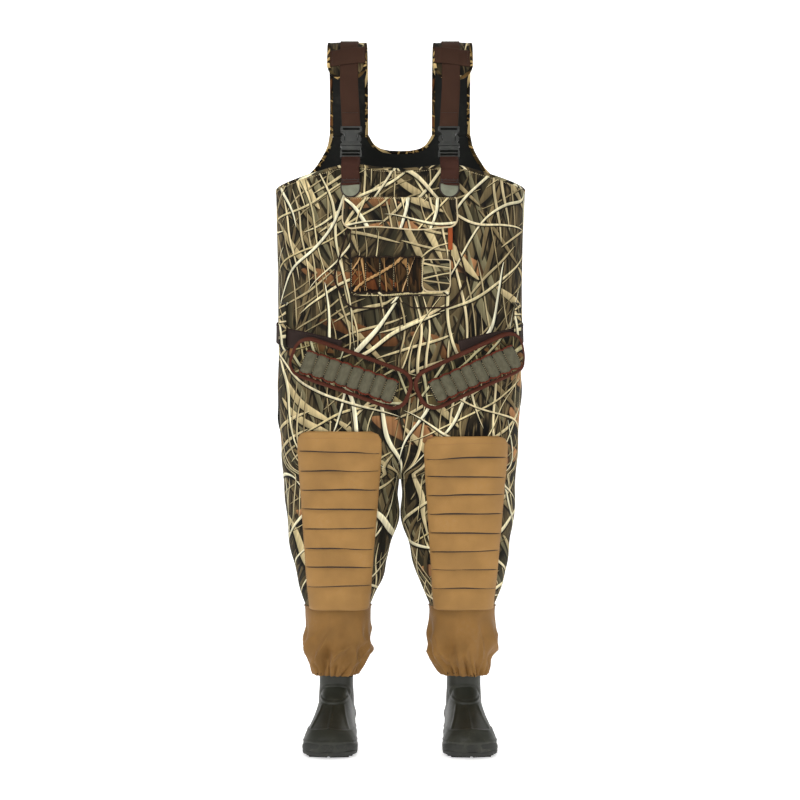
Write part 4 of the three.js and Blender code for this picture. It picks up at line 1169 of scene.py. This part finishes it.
# Waist belt: dark webbing round the hips, through a loop at each side and one at the back, with its
# buckle under the inner ends of the two pads.
belt_cloth = cloth_material("belt webbing", (52, 40, 36), roughness=0.8, pitch=0.003, stretch=0.7,
                            depth=0.0008,
                            thread_painted_shade=1.8)
body_points, body_faces = [], []
for name in ("front_panel", "back_panel", "left_leg", "right_leg"):
    data = bpy.data.objects[name].data
    first = len(body_points)
    body_points += [v.co.copy() for v in data.vertices]
    body_faces += [tuple(i + first for i in f.vertices) for f in data.polygons if f.material_index == 0]
body_skin = BVHTree.FromPolygons(body_points, body_faces)


# Point on the body at an azimuth, from 0 at the wearer's left round the back to 180 at the right.
def round_body(azimuth, z, offset):
    a = math.radians(azimuth)
    way = Vector((math.cos(a), math.sin(a), 0))
    start = Vector((0, 0, z + SOLE)) + way
    hit = body_skin.ray_cast(start, -way)
    normal = Vector((way.x / 0.265**2 * 0.15**2, way.y, 0)).normalized()
    return np.array(hit[0]) + np.array(normal) * offset, np.array(normal)


def belt_height(azimuth):
    return float(np.interp(azimuth, (-60, -30, 0, 40, 90, 140, 180, 210, 240),
                           (0.838, 0.868, 0.893, 0.912, 0.920, 0.912, 0.893, 0.868, 0.838)))


belt_run = [round_body(a, belt_height(a), 0.0012) for a in np.linspace(-48, 228, 150)]
piece = sweep("waist_belt", [p for p, n in belt_run], [n for p, n in belt_run],
              strip_profile(0.040, 0.0022), [belt_cloth])
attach(piece, "torso")
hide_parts("belt_webbing", "belt_slack_webbing")
for k, shift in enumerate((-0.017, 0.017)):
    piece = dashes(f"belt_stitches_{k}", [p + (0, 0, shift) for p, n in belt_run], [n for p, n in belt_run],
                   dark_thread,
                   lift=0.0022)
    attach(piece, "torso")
for name, azimuth, low, high, width in (("left", -17, 0.868, 0.951, 0.022),
                                        ("right", 197, 0.852, 0.951, 0.022),
                                        ("back", 90, 0.885, 0.958, 0.036)):
    rows = []
    for z in np.linspace(low, high, 24):
        arch = 0.0075 * min(1, (z - low) / 0.012, (high - z) / 0.012) ** 0.6 if low < z < high else 0
        rows.append(round_body(azimuth, z, 0.0015 + arch))
    piece = sweep(f"{name}_loop", [p for p, n in rows], [n for p, n in rows], strip_profile(width, 0.0024),
                  [jersey_bright])
    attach(piece, "torso")
    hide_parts(f"{name}_belt_loop")
    for k, row in enumerate((2, -3)):
        (a, n) = rows[row]
        side_way = np.cross(n, (0, 0, 1)) * width * 0.42
        piece = dashes(f"{name}_loop_tack_{k}", [a - side_way, a + side_way], [n, n], dark_thread,
                       gap=0.0004, lift=0.0024)
        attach(piece, "torso")

slope = math.radians(-20)
belt_place = np.array((-0.100 + 0.100 * math.cos(slope), -0.1532, 0.801 + 0.100 * math.sin(slope) + SOLE))
belt_axes = ((math.cos(-1.2217), 0, -math.sin(-1.2217)), (0, 1, 0),
             (math.sin(-1.2217), 0, math.cos(-1.2217)))
buckle("belt", (belt_place, belt_axes), "torso", "belt_socket")


# Shell pads: thick foam in printed cloth with a wide folded binding, each with eight elastic loops
# edged in red-brown piping, threaded on the belt.
pad_binding = cloth_material("pad binding", (82, 43, 31), roughness=0.85, pitch=0.002, depth=0.0006,
                             thread_painted_shade=1.5)
loop_piping = cloth_material("loop piping", (98, 46, 32), roughness=0.85, pitch=0.0015)
pad_cloth = cloth_material("pad cloth", roughness=0.85, bright=0.85, tint=(214, 214, 200))
pad_elastic = cloth_material("pad loop elastic", (98, 94, 76), roughness=0.85, pitch=0.0024, depth=0.0008,
                             thread_painted_shade=2.6, size=90)
PAD_WIDTH, PAD_OUT = 0.078, 0.0150
for name, x, z, degrees, length in (("right", -0.100, 0.801, -20, 0.249),
                                    ("left", 0.1475, 0.807, 25.5, 0.238)):
    a = math.radians(degrees)

    def on_pad(along, across, height, x=x, z=z, a=a):
        px = x + along * math.cos(a) - across * math.sin(a)
        pz = z + along * math.sin(a) + across * math.cos(a)
        past = max(0, abs(px) - 0.222)
        px = math.copysign(min(abs(px), 0.222) + 0.036 * math.tanh(past / 0.036), px)
        point, normal = on_front(px, pz, 0)
        normal = normal * (1, 1, 0.3)
        normal /= np.linalg.norm(normal)
        return point + normal * height, normal

    columns, rows = 41, 17
    grid, ups = np.empty((rows, columns, 3)), np.empty((rows, columns, 3))
    for c, along in enumerate(length / 2 * np.sin(np.linspace(-math.pi / 2, math.pi / 2, columns))):
        gap = length / 2 - abs(along)
        half = PAD_WIDTH / 2 - 0.030 + math.sqrt(max(0.030**2 - max(0.030 - gap, 0) ** 2, 0)) + 0.001
        for r, share in enumerate(np.linspace(-1, 1, rows)):
            dome = 0.0035 * (1 - share**4) * min(1, gap / 0.02)
            grid[r, c], ups[r, c] = on_pad(along, half * share, PAD_OUT + dome)
    uv = grid[..., [0, 2]] * 1.3
    piece = cloth(f"{name}_pad", grid, uv, 0.0115, [pad_cloth, pad_binding], normals=ups)
    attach(piece, "torso")
    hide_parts(f"{name}_shell_pad")
    loop, loop_ups = border(grid, ups)
    piece = sweep(f"{name}_pad_edge", loop - loop_ups * 0.005, loop_ups,
                  oval_profile(0.0100, 0.0150, 14, 0.8), [pad_binding],
                  closed=True)
    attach(piece, "torso")
    seam_grid, seam_ups = grid[1:-1, 2:-2], ups[1:-1, 2:-2]
    loop, loop_ups = border(seam_grid, seam_ups)
    piece = dashes(f"{name}_pad_stitches", loop, loop_ups, dark_thread, lift=0.0006)
    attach(piece, "torso")
    loops = loop_strip(f"{name}_loops", on_pad, -length / 2 + 0.027, length / 2 - 0.027, -0.028, 0.014, 8,
                       0.0095,
                       PAD_OUT + 0.0035, [pad_elastic, lining], loop_piping, "torso")
    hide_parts(f"{name}_pad_loops")


# Knee pads: one long panel of tan nylon on each leg, laid in overlapping pleats so that it gives at the
# knee, folded in at its edges and stitched round. Each is in two lengths that meet under a pleat.
tan_nylon = cloth_material("tan nylon", (157, 117, 62), roughness=0.72, pitch=0.0011, depth=0.0003,
                           thread_painted_shade=0.8,
                           sheen=0.05, size=14)
# The gaiters get a darker copy of the tan nylon.
cuff_nylon = cloth_material("cuff nylon", (133, 95, 43), roughness=0.72, pitch=0.0011, depth=0.0003,
                            thread_painted_shade=0.8,
                            sheen=0.05, size=14)
tan_thread = plain_material("tan thread", linear(136, 96, 54)[:3], 0.7)


def on_body(x, z, offset):
    hits = [body_skin.ray_cast(Vector((x + dx, -1, z + dz + SOLE)), Vector((0, 1, 0)))
            for dx, dz in ((0, 0), (0.010, 0), (-0.010, 0), (0, 0.010), (0, -0.010))]
    if hits[0][0] is None:
        hits = [body_skin.find_nearest(Vector((x, -0.05, z + SOLE)))]
    normal = np.mean([np.array(h[1]) for h in hits if h[0] is not None], 0)
    normal /= np.linalg.norm(normal)
    normal = normal if normal[1] < 0 else -normal
    return np.array(hits[0][0]) + normal * offset, normal


KNEE_COLUMNS = 61


def knee_half(z):
    return np.interp(z, (0.300, 0.340, 0.637), (0.0625, 0.0670, 0.0885))


def knee_centre(side, z):
    return side * 0.1335 + np.interp(z, (0.3, 0.65), (0.003, 0.006))


def pleated(name, side, lines, first, last, tuck):
    rows = []  # height, how far the pleat stands off, which end it is
    for k in range(first, last):
        low, high = lines[k], lines[k + 1]
        for share in (0.0, 0.03, 0.12, 0.35, 0.62, 0.86, 1.0):
            rows.append((low + (high - low) * share, 0.0078 * (1 - share) ** 1.15 + 0.0004, k, share))
        if k + 1 < last or tuck:
            rows.append((high + 0.0070, 0.0, k + 1, 0.0))
            rows.append((high + 0.0060, 0.0016, k + 1, 0.0))
            rows.append((high + 0.0020, 0.0056, k + 1, 0.0))
    u = np.sin(np.linspace(-1, 1, KNEE_COLUMNS) * math.pi / 2 * 0.86) / math.sin(math.pi / 2 * 0.86)
    grid, ups = np.empty((len(rows), KNEE_COLUMNS, 3)), np.empty((len(rows), KNEE_COLUMNS, 3))
    uv = np.empty((len(rows), KNEE_COLUMNS, 2))
    top = lines[-1]
    for r, (z, stand, k, share) in enumerate(rows):
        half = knee_half(z)
        gap = max(top - z, 0)
        if gap < 0.022:
            half -= 0.022 - math.sqrt(0.022**2 - (0.022 - gap) ** 2)
        centre = knee_centre(side, z)
        for c in range(KNEE_COLUMNS):
            ends = (1 - abs(u[c]) ** 5) ** 0.8
            arch = 0.0030 * (1 - u[c] ** 2) + 0.0016 * u[c] * math.sin(k * 2.3 + side)
            if k == 0 and share == 0:
                arch = 0
            fall = 1 if gap > 0.02 else gap / 0.02
            rumple = noise.noise(Vector((u[c] * 2.2 + side * 7, z * 22, k * 3.1))) * 0.0022
            height = 0.0022 + 0.0028 * ends + stand * ends + rumple * ends
            grid[r, c], ups[r, c] = on_body(centre + half * u[c], z + arch * fall, height)
            uv[r, c] = (half * u[c], z)
    return grid, uv, ups


knee_lines = {
    "right": (0.3005, 0.3507, 0.3910, 0.4306, 0.4740, 0.5146, 0.5560, 0.5970, 0.6370, 0.6795),
    "left": (0.3005, 0.3455, 0.3866, 0.4255, 0.4640, 0.5050, 0.5454, 0.5840, 0.6240, 0.6690),
}
for name, side in (("left", 1), ("right", -1)):
    lines = knee_lines[name]
    for part, first, last, bodies in (("knee_lower", 0, 7, ("lower_body", f"{name}_shin", 0.553, 0.407)),
                                      ("knee_upper", 7, 9, ("torso", "lower_body", 0.77, 0.60))):
        grid, uv, ups = pleated(name, side, lines, first, last, part == "knee_lower")
        pad = cloth(f"{name}_{part}", grid, uv, 0.0012, [tan_nylon, tan_nylon], normals=ups)
        a, b, high, low = bodies
        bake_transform(pad)
        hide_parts(f"{name}_knee_pad")
        for k, column in enumerate((2, -3)):
            edge, edge_ups = grid[:, column], ups[:, column]
            keep = np.r_[True, np.diff(edge[:, 2]) > 0.0005]
            keep &= edge[:, 2] <= np.maximum.accumulate(edge[:, 2])
            piece = dashes(f"{name}_{part}_stitches_{k}", edge[keep], edge_ups[keep], tan_thread,
                           lift=0.0001)
            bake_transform(piece)
        # Painted shadow: a dark strip under each pleat's edge stands for the shadow in the fold.
        for k in range(first + 1, last + (part == "knee_lower")):
            row = int(np.argmin(np.abs(grid[:, 30, 2] - SOLE - lines[k] - 0.0030)))
            half = knee_half(lines[k])
            centre = knee_centre(side, lines[k])
            pleat_shadow_line = []
            for u in np.linspace(-0.93, 0.93, 31):
                arch = 0.0030 * (1 - u**2) + 0.0016 * u * math.sin(k * 2.3 + side)
                ends = (1 - abs(u) ** 5) ** 0.8
                pleat_shadow_line.append(on_body(centre + half * u, lines[k] + arch - 0.0019,
                                         0.0036 + 0.0028 * ends))
            thin = 1 - np.abs(np.linspace(-1, 1, 31)) ** 3 * 0.8
            piece = sweep(f"{name}_{part}_tuck_{k}", [p for p, n in pleat_shadow_line], [n for p, n in pleat_shadow_line],
                          oval_profile(0.0046, 0.0018), [dark_thread], widths=thin)
            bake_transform(piece)
    top_line = grid[-3, 4:-4]
    piece = dashes(f"{name}_knee_top_stitches", top_line, ups[-3, 4:-4], tan_thread, lift=0.0001)
    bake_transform(piece)


# Ankle cuffs: loose gaiters of the same nylon over the boots' shafts, sewn on at the top and gathered
# at the hem by elastic.
CUFF = np.array([
    (0.300, 0.2060, 0.0632, 0.0730, 0.0810),
    (0.285, 0.2055, 0.0635, 0.0735, 0.0815),
    (0.243, 0.2050, 0.0640, 0.0760, 0.0855),
    (0.220, 0.2045, 0.0650, 0.0775, 0.0850),
    (0.200, 0.1995, 0.0690, 0.0765, 0.0825),
    (0.184, 0.1920, 0.0760, 0.0680, 0.0780),
    (0.170, 0.1855, 0.0850, 0.0560, 0.0720),
    (0.152, 0.1800, 0.0960, 0.0500, 0.0670),
])[::-1]
CUFF_COLUMNS = 180


def cuff_grid(side):
    heights = 0.152 + 0.1485 * np.linspace(0, 1, 62) ** 1.15
    grid = np.empty((len(heights), CUFF_COLUMNS, 3))
    angles = np.linspace(0, 2 * math.pi, CUFF_COLUMNS, endpoint=False)
    for r, z in enumerate(heights):
        outer, inner, front, back = (smooth_value(CUFF, z, k) for k in (1, 2, 3, 4))
        middle, half = (outer + inner) / 2, (outer - inner) / 2
        for c, a in enumerate(angles):
            cx, sy = math.cos(a), math.sin(a)
            x = middle + half * math.copysign(abs(cx) ** (2 / 2.25), cx)
            y = (back if sy > 0 else front) * math.copysign(abs(sy) ** (2 / 2.25), sy)
            way = Vector((cx, sy, 0))
            drift = noise.noise(Vector((cx * 1.4 + side * 5, sy * 1.4, z * 9)))
            gather = min(max((0.222 - z) / 0.060, 0), 1) ** 1.4
            small = (abs(math.sin(a * 12 + drift * 5 + (z - 0.152) * 14)) ** 0.55 - 0.62) * 0.0110
            big = noise.noise(Vector((cx * 2.3 + side * 3, sy * 2.3, z * 6 + cx * 1.5)))
            ridge = 0.55 - abs(noise.noise(Vector((cx * 2.1 + side * 9 + z * 11, sy * 2.1 + z * 6,
                                                   z * 13)))) * 3.2
            loose = math.exp(-(((z - 0.205) / 0.040) ** 2))
            push = small * gather + big * 0.0125 * min(max((0.29 - z) / 0.05, 0),
                                                       1) + ridge * 0.0120 * loose
            sag = 0.0035 * gather * math.sin(a * 3 + side) + (0.0018 * math.sin(a * 24) if z < 0.156 else 0)
            grid[r, c] = (side * (x + way.x * push), y + way.y * push,
                          z + sag * min(1, (z - 0.150) / 0.01) + SOLE)
    if side < 0:
        grid = grid[:, ::-1]
    return grid


for name, side in (("left", 1), ("right", -1)):
    grid = cuff_grid(side)
    wrapped = np.concatenate([grid[:, -1:], grid, grid[:, :1]], axis=1)
    ups = grid_normals(wrapped)[:, 1:-1]
    arc = np.cumsum(np.linalg.norm(np.diff(wrapped[20, :-1], axis=0), axis=1))
    uv = np.stack([np.tile(arc, (len(grid), 1)), grid[..., 2]], -1)
    cuff = cloth(f"{name}_gaiter", grid, uv, 0.0009, [cuff_nylon, cuff_nylon], ring=True, normals=ups)
    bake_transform(cuff)
    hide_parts(f"{name}_cuff")
    top, top_ups = grid[-1], ups[-1]
    piece = sweep(f"{name}_cuff_seam", top, top_ups, oval_profile(0.0030, 0.0042), [cuff_nylon],
                  closed=True)
    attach(piece, f"{name}_shin")
    row = int(np.argmin(np.abs(grid[:, 0, 2] - SOLE - 0.2945)))
    loop = np.concatenate([grid[row], grid[row, :1]])
    piece = dashes(f"{name}_cuff_stitches", loop, np.concatenate([ups[row], ups[row, :1]]), tan_thread,
                   lift=0.0001)
    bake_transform(piece)
    hem = sweep(f"{name}_hem_elastic", grid[3] - ups[3] * 0.0042, ups[3], oval_profile(0.0075, 0.0030),
                [lining], closed=True)
    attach(hem, f"{name}_boot")
    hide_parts(f"{name}_cuff_elastic")


# Boots: moulded rubber uppers with a raised plain panel on the instep, ribs down to a toe cap and a
# kick-off lug on the heel, on a deeper outsole with a toe bumper and bars of tread, and an insole.
boot_rubber = cloth_material("olive rubber", (43, 44, 36), roughness=0.46, pitch=0.0008, depth=0.00008,
                             coordinates="Object", size=26, thread_painted_shade=0.15)
sole_rubber = cloth_material("sole rubber", (36, 37, 32), roughness=0.6, pitch=0.0008, depth=0.0001,
                             coordinates="Object", size=30, thread_painted_shade=0.15)
felt = cloth_material("insole felt", (38, 38, 38), roughness=0.95, pitch=0.0012, depth=0.0004,
                      coordinates="Object")
# Distance along the foot from heel to toe, half width and the top of the upper there.
FOOT = np.array([
    (0.098, 0.012, 0.048), (0.092, 0.026, 0.070), (0.084, 0.033, 0.088), (0.064, 0.037, 0.112),
                 (0.040, 0.039, 0.132),
    (0.000, 0.041, 0.138), (-0.025, 0.0425, 0.128), (-0.045, 0.045, 0.112), (-0.070, 0.0485, 0.096),
    (-0.095, 0.0525, 0.083), (-0.135, 0.0555, 0.067), (-0.155, 0.0520, 0.060), (-0.168, 0.0455, 0.053),
    (-0.180, 0.0330, 0.044), (-0.188, 0.0160, 0.035),
])
BOOT_FLOOR, BOOT_TOP = 0.0165, 0.236


def foot_at(y, column):
    return float(np.interp(-y, -FOOT[:, 0], FOOT[:, column]))


def foot_outline(margin, count=140):
    right = [(w + margin, y) for y, w, top in FOOT]
    heel, toe = (0, FOOT[0, 0] + margin + 0.003), (0, FOOT[-1, 0] - margin - 0.003)
    loop = np.array([heel] + right + [toe] + [(-x, y) for x, y in right[::-1]] + [heel])
    loop = even_points(loop, count + 1)[:-1]
    for _ in range(3):
        loop = (np.roll(loop, 1, 0) + 2 * loop + np.roll(loop, -1, 0)) / 4
    return loop


def closed_loft(rings):
    rings = [np.asarray(r, float) for r in rings]
    around = len(rings[0])
    faces = []
    for r in range(len(rings) - 1):
        for c in range(around):
            d = (c + 1) % around
            faces.append((r * around + c, r * around + d, (r + 1) * around + d, (r + 1) * around + c))
    faces.append(tuple(range(around - 1, -1, -1)))
    faces.append(tuple((len(rings) - 1) * around + k for k in range(around)))
    return np.concatenate(rings), faces


# Several overlapping solids grown together into one skin with soft joins.
def merged_skin(parts, size, rounds):
    points, faces = [], []
    for some_points, some_faces in parts:
        first = sum(len(p) for p in points)
        points.append(some_points)
        faces += [tuple(i + first for i in f) for f in some_faces]
    holder = mesh_object("skin", np.concatenate(points), faces, [], smooth=True)
    remesh = holder.modifiers.new("skin", "REMESH")
    remesh.mode = "VOXEL"
    remesh.voxel_size = size
    relax = holder.modifiers.new("soft", "SMOOTH")
    relax.factor = 0.5
    relax.iterations = rounds
    bpy.context.view_layer.update()
    data = bpy.data.meshes.new_from_object(holder.evaluated_get(bpy.context.evaluated_depsgraph_get()))
    bpy.data.objects.remove(holder)
    made = np.array([v.co for v in data.vertices]), np.array([v.normal for v in data.vertices])
    faces = [tuple(f.vertices) for f in data.polygons]
    bpy.data.meshes.remove(data)
    return made[0], made[1], faces


def bump_line(distance, width):
    return np.exp(-((distance / width) ** 2))


def ramp(value, low, high):
    t = np.clip((value - low) / (high - low), 0, 1)
    return t * t * (3 - 2 * t)


foot_rings = []
for y in np.r_[np.linspace(0.096, 0.080, 5), np.linspace(0.072, -0.150, 34),
               np.linspace(-0.156, -0.189, 11)]:
    half, top = foot_at(y, 1), foot_at(y, 2)
    ring = []
    for a in np.linspace(0, 2 * math.pi, 48, endpoint=False):
        c, s = math.cos(a), math.sin(a)
        x = half * math.copysign(abs(c) ** 0.72, c)
        z = BOOT_FLOOR + (top - BOOT_FLOOR) * s**0.85 if s > 0 else BOOT_FLOOR - abs(s) ** 0.3 * 0.003
        ring.append((x, y, z))
    foot_rings.append(ring)
shaft_rings = []
for z in np.linspace(0.050, BOOT_TOP, 24):
    wide = 0.0365 + 0.003 * ramp(np.array(z), 0.16, 0.236) + 0.002 * ramp(np.array(z), 0.13, 0.09)
    ring = []
    for a in np.linspace(0, 2 * math.pi, 48, endpoint=False):
        c, s = math.cos(a), math.sin(a)
        reach = 0.046 if s > 0 else 0.038
        ring.append((wide * math.copysign(abs(c) ** 0.9, c), 0.010 + reach
                     * math.copysign(abs(s) ** 0.9, s), z))
    shaft_rings.append(ring)
skin_points, skin_normals, skin_faces = merged_skin([closed_loft(foot_rings), closed_loft(shaft_rings)],
                                                    0.0024, 7)
x, y, z = skin_points.T
front_face = ramp(-skin_normals[:, 1], 0.05, 0.3)
badge = 1 - ramp(np.abs(x / 0.033) ** 2.6 + np.abs((z - 0.1135) / 0.0175) ** 2.6, 0.86, 1.12)
badge *= front_face * (y < 0)
inset = bump_line((np.abs(x / 0.027) ** 2.6 + np.abs((z - 0.1135) / 0.0125) ** 2.6 - 1) * 0.008,
                  0.0012) * front_face
vamp = ramp(z, 0.052, 0.060) * (1 - ramp(z, 0.090, 0.097)) * (y < -0.02)
fan = np.clip((0.097 - z) / 0.040, 0, 1.3)
ribs = sum(bump_line(x - way * (0.0 if way == 0 else 0.023) - way * 0.016 * fan**1.5, 0.0016)
           for way in (-1, 0, 1))
cap_line = 0.0575 - 0.24 * np.abs(x) ** 1.25
cap = (y < -0.10) * (1 - ramp(z, cap_line - 0.0015, cap_line + 0.0015))
cap_edge = (y < -0.095) * bump_line(z - cap_line, 0.0016)
welt = bump_line(z - 0.030 - 0.004 * ramp(-y, 0.09, 0.19), 0.0020)
side_panel = (1 - ramp(z, 0.060, 0.063)) * (y > -0.02) * (y < 0.075)
heel_lug = ramp(y, 0.058, 0.078) * ramp(z, 0.040, 0.052) * (1 - ramp(z, 0.092, 0.106))
lug_groove = bump_line(z - 0.074, 0.0022) * ramp(y, 0.062, 0.080)
collar = bump_line(z - 0.222, 0.0045) + 0.5 * bump_line(z - 0.205, 0.0030)
push = (0.0026 * badge - 0.0012 * inset * badge + 0.0022 * ribs * vamp + 0.0016 * cap + 0.0014 * cap_edge
        + 0.0018 * welt
        + 0.0008 * side_panel + 0.0050 * heel_lug - 0.0020 * lug_groove + 0.0012 * collar)
upper_points = skin_points + skin_normals * push[:, None]
inner_points = skin_points - skin_normals * 0.0035
top_face = [bool(np.all(skin_points[list(f), 2] > BOOT_TOP - 0.0016)) for f in skin_faces]
kept = [f for f, gone in zip(skin_faces, top_face) if not gone]
edges = {}
for f in kept:
    for a, b in zip(f, f[1:] + f[:1]):
        edges[a, b] = edges.get((b, a), 0) + 1 if (b, a) in edges else 1
rims = [(a, b) for (a, b) in edges if (b, a) not in edges]
total = len(skin_points)
boot_faces = kept + [tuple(i + total for i in f[::-1])
                     for f in kept] + [(b, a, a + total, b + total) for a, b in rims]
boot_points = np.concatenate([upper_points, inner_points])
used = sorted({i for f in boot_faces for i in f})
renumber = {old: new for new, old in enumerate(used)}
boot_points = boot_points[used]
boot_faces = [tuple(renumber[i] for i in f) for f in boot_faces]

outline = foot_outline(0.0030)
sole_rings = []
for height, grow in ((0.0042, -0.0050), (0.0048, -0.0022), (0.0075, -0.0006), (0.0100, 0.0000),
                     (0.0112, -0.0016),
                     (0.0124, -0.0002), (0.0160, 0.0006), (0.0190, 0.0004), (0.0215, -0.0008),
                     (0.0225, -0.0030)):
    ring = []
    for px, py in outline:
        away = np.array((px, py + 0.045)) / math.hypot(px, py + 0.045)
        toe_rise = 0.010 * float(ramp(np.array(-py), 0.12, 0.185)) * (height / 0.0225)
        ring.append((px + away[0] * grow, py + away[1] * grow, height + toe_rise))
    sole_rings.append(ring)
sole_part = closed_loft(sole_rings)
treads = [sole_part]
for k, y0 in enumerate(np.r_[np.linspace(-0.166, -0.035, 9), np.linspace(0.010, 0.068, 5)]):
    half = min(foot_at(y0 + reach, 1) for reach in (0, 0.0145)) - 0.004
    for way in (-1, 1):
        lean = 0.006
        corners = [(way * 0.0025, y0), (way * half, y0 + lean), (way * half, y0 + lean + 0.0085),
                   (way * 0.0025, y0 + 0.0085)]
        corners = corners if way > 0 else corners[::-1]
        treads.append(closed_loft([[(cx * 0.985, cy, 0.0) for cx, cy in corners],
                                   [(cx, cy, 0.0052) for cx, cy in corners]]))
insole_rings = []
for height, grow in ((0.0205, -0.0115), (0.0212, -0.0105), (0.0242, -0.0105), (0.0250, -0.0120)):
    insole_rings.append([(px * (1 + grow / 0.05), py * (1 + grow / 0.14) - 0.003, height)
                         for px, py in outline])

for name, side in (("left", 1), ("right", -1)):
    turn = math.radians(3.5) * side
    place = (np.array((side * 0.139, 0, SOLE)),
             ((math.cos(turn), math.sin(turn), 0), (-math.sin(turn), math.cos(turn), 0), (0, 0, 1)))
    upper = joined(f"{name}_boot_rubber", [(boot_points, boot_faces)], boot_rubber, place, smooth=True)
    sole = joined(f"{name}_boot_sole", treads, sole_rubber, place)
    bed = joined(f"{name}_boot_insole", [closed_loft(insole_rings)], felt, place)
    for piece, cad_node, slot_name in ((upper, "boot_upper", "boot_rubber"),
                                       (sole, "outsole", "boot_rubber"),
                                       (bed, "insole", "insole")):
        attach(piece, f"{name}_boot")
        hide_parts(f"{name}_{cad_node}")
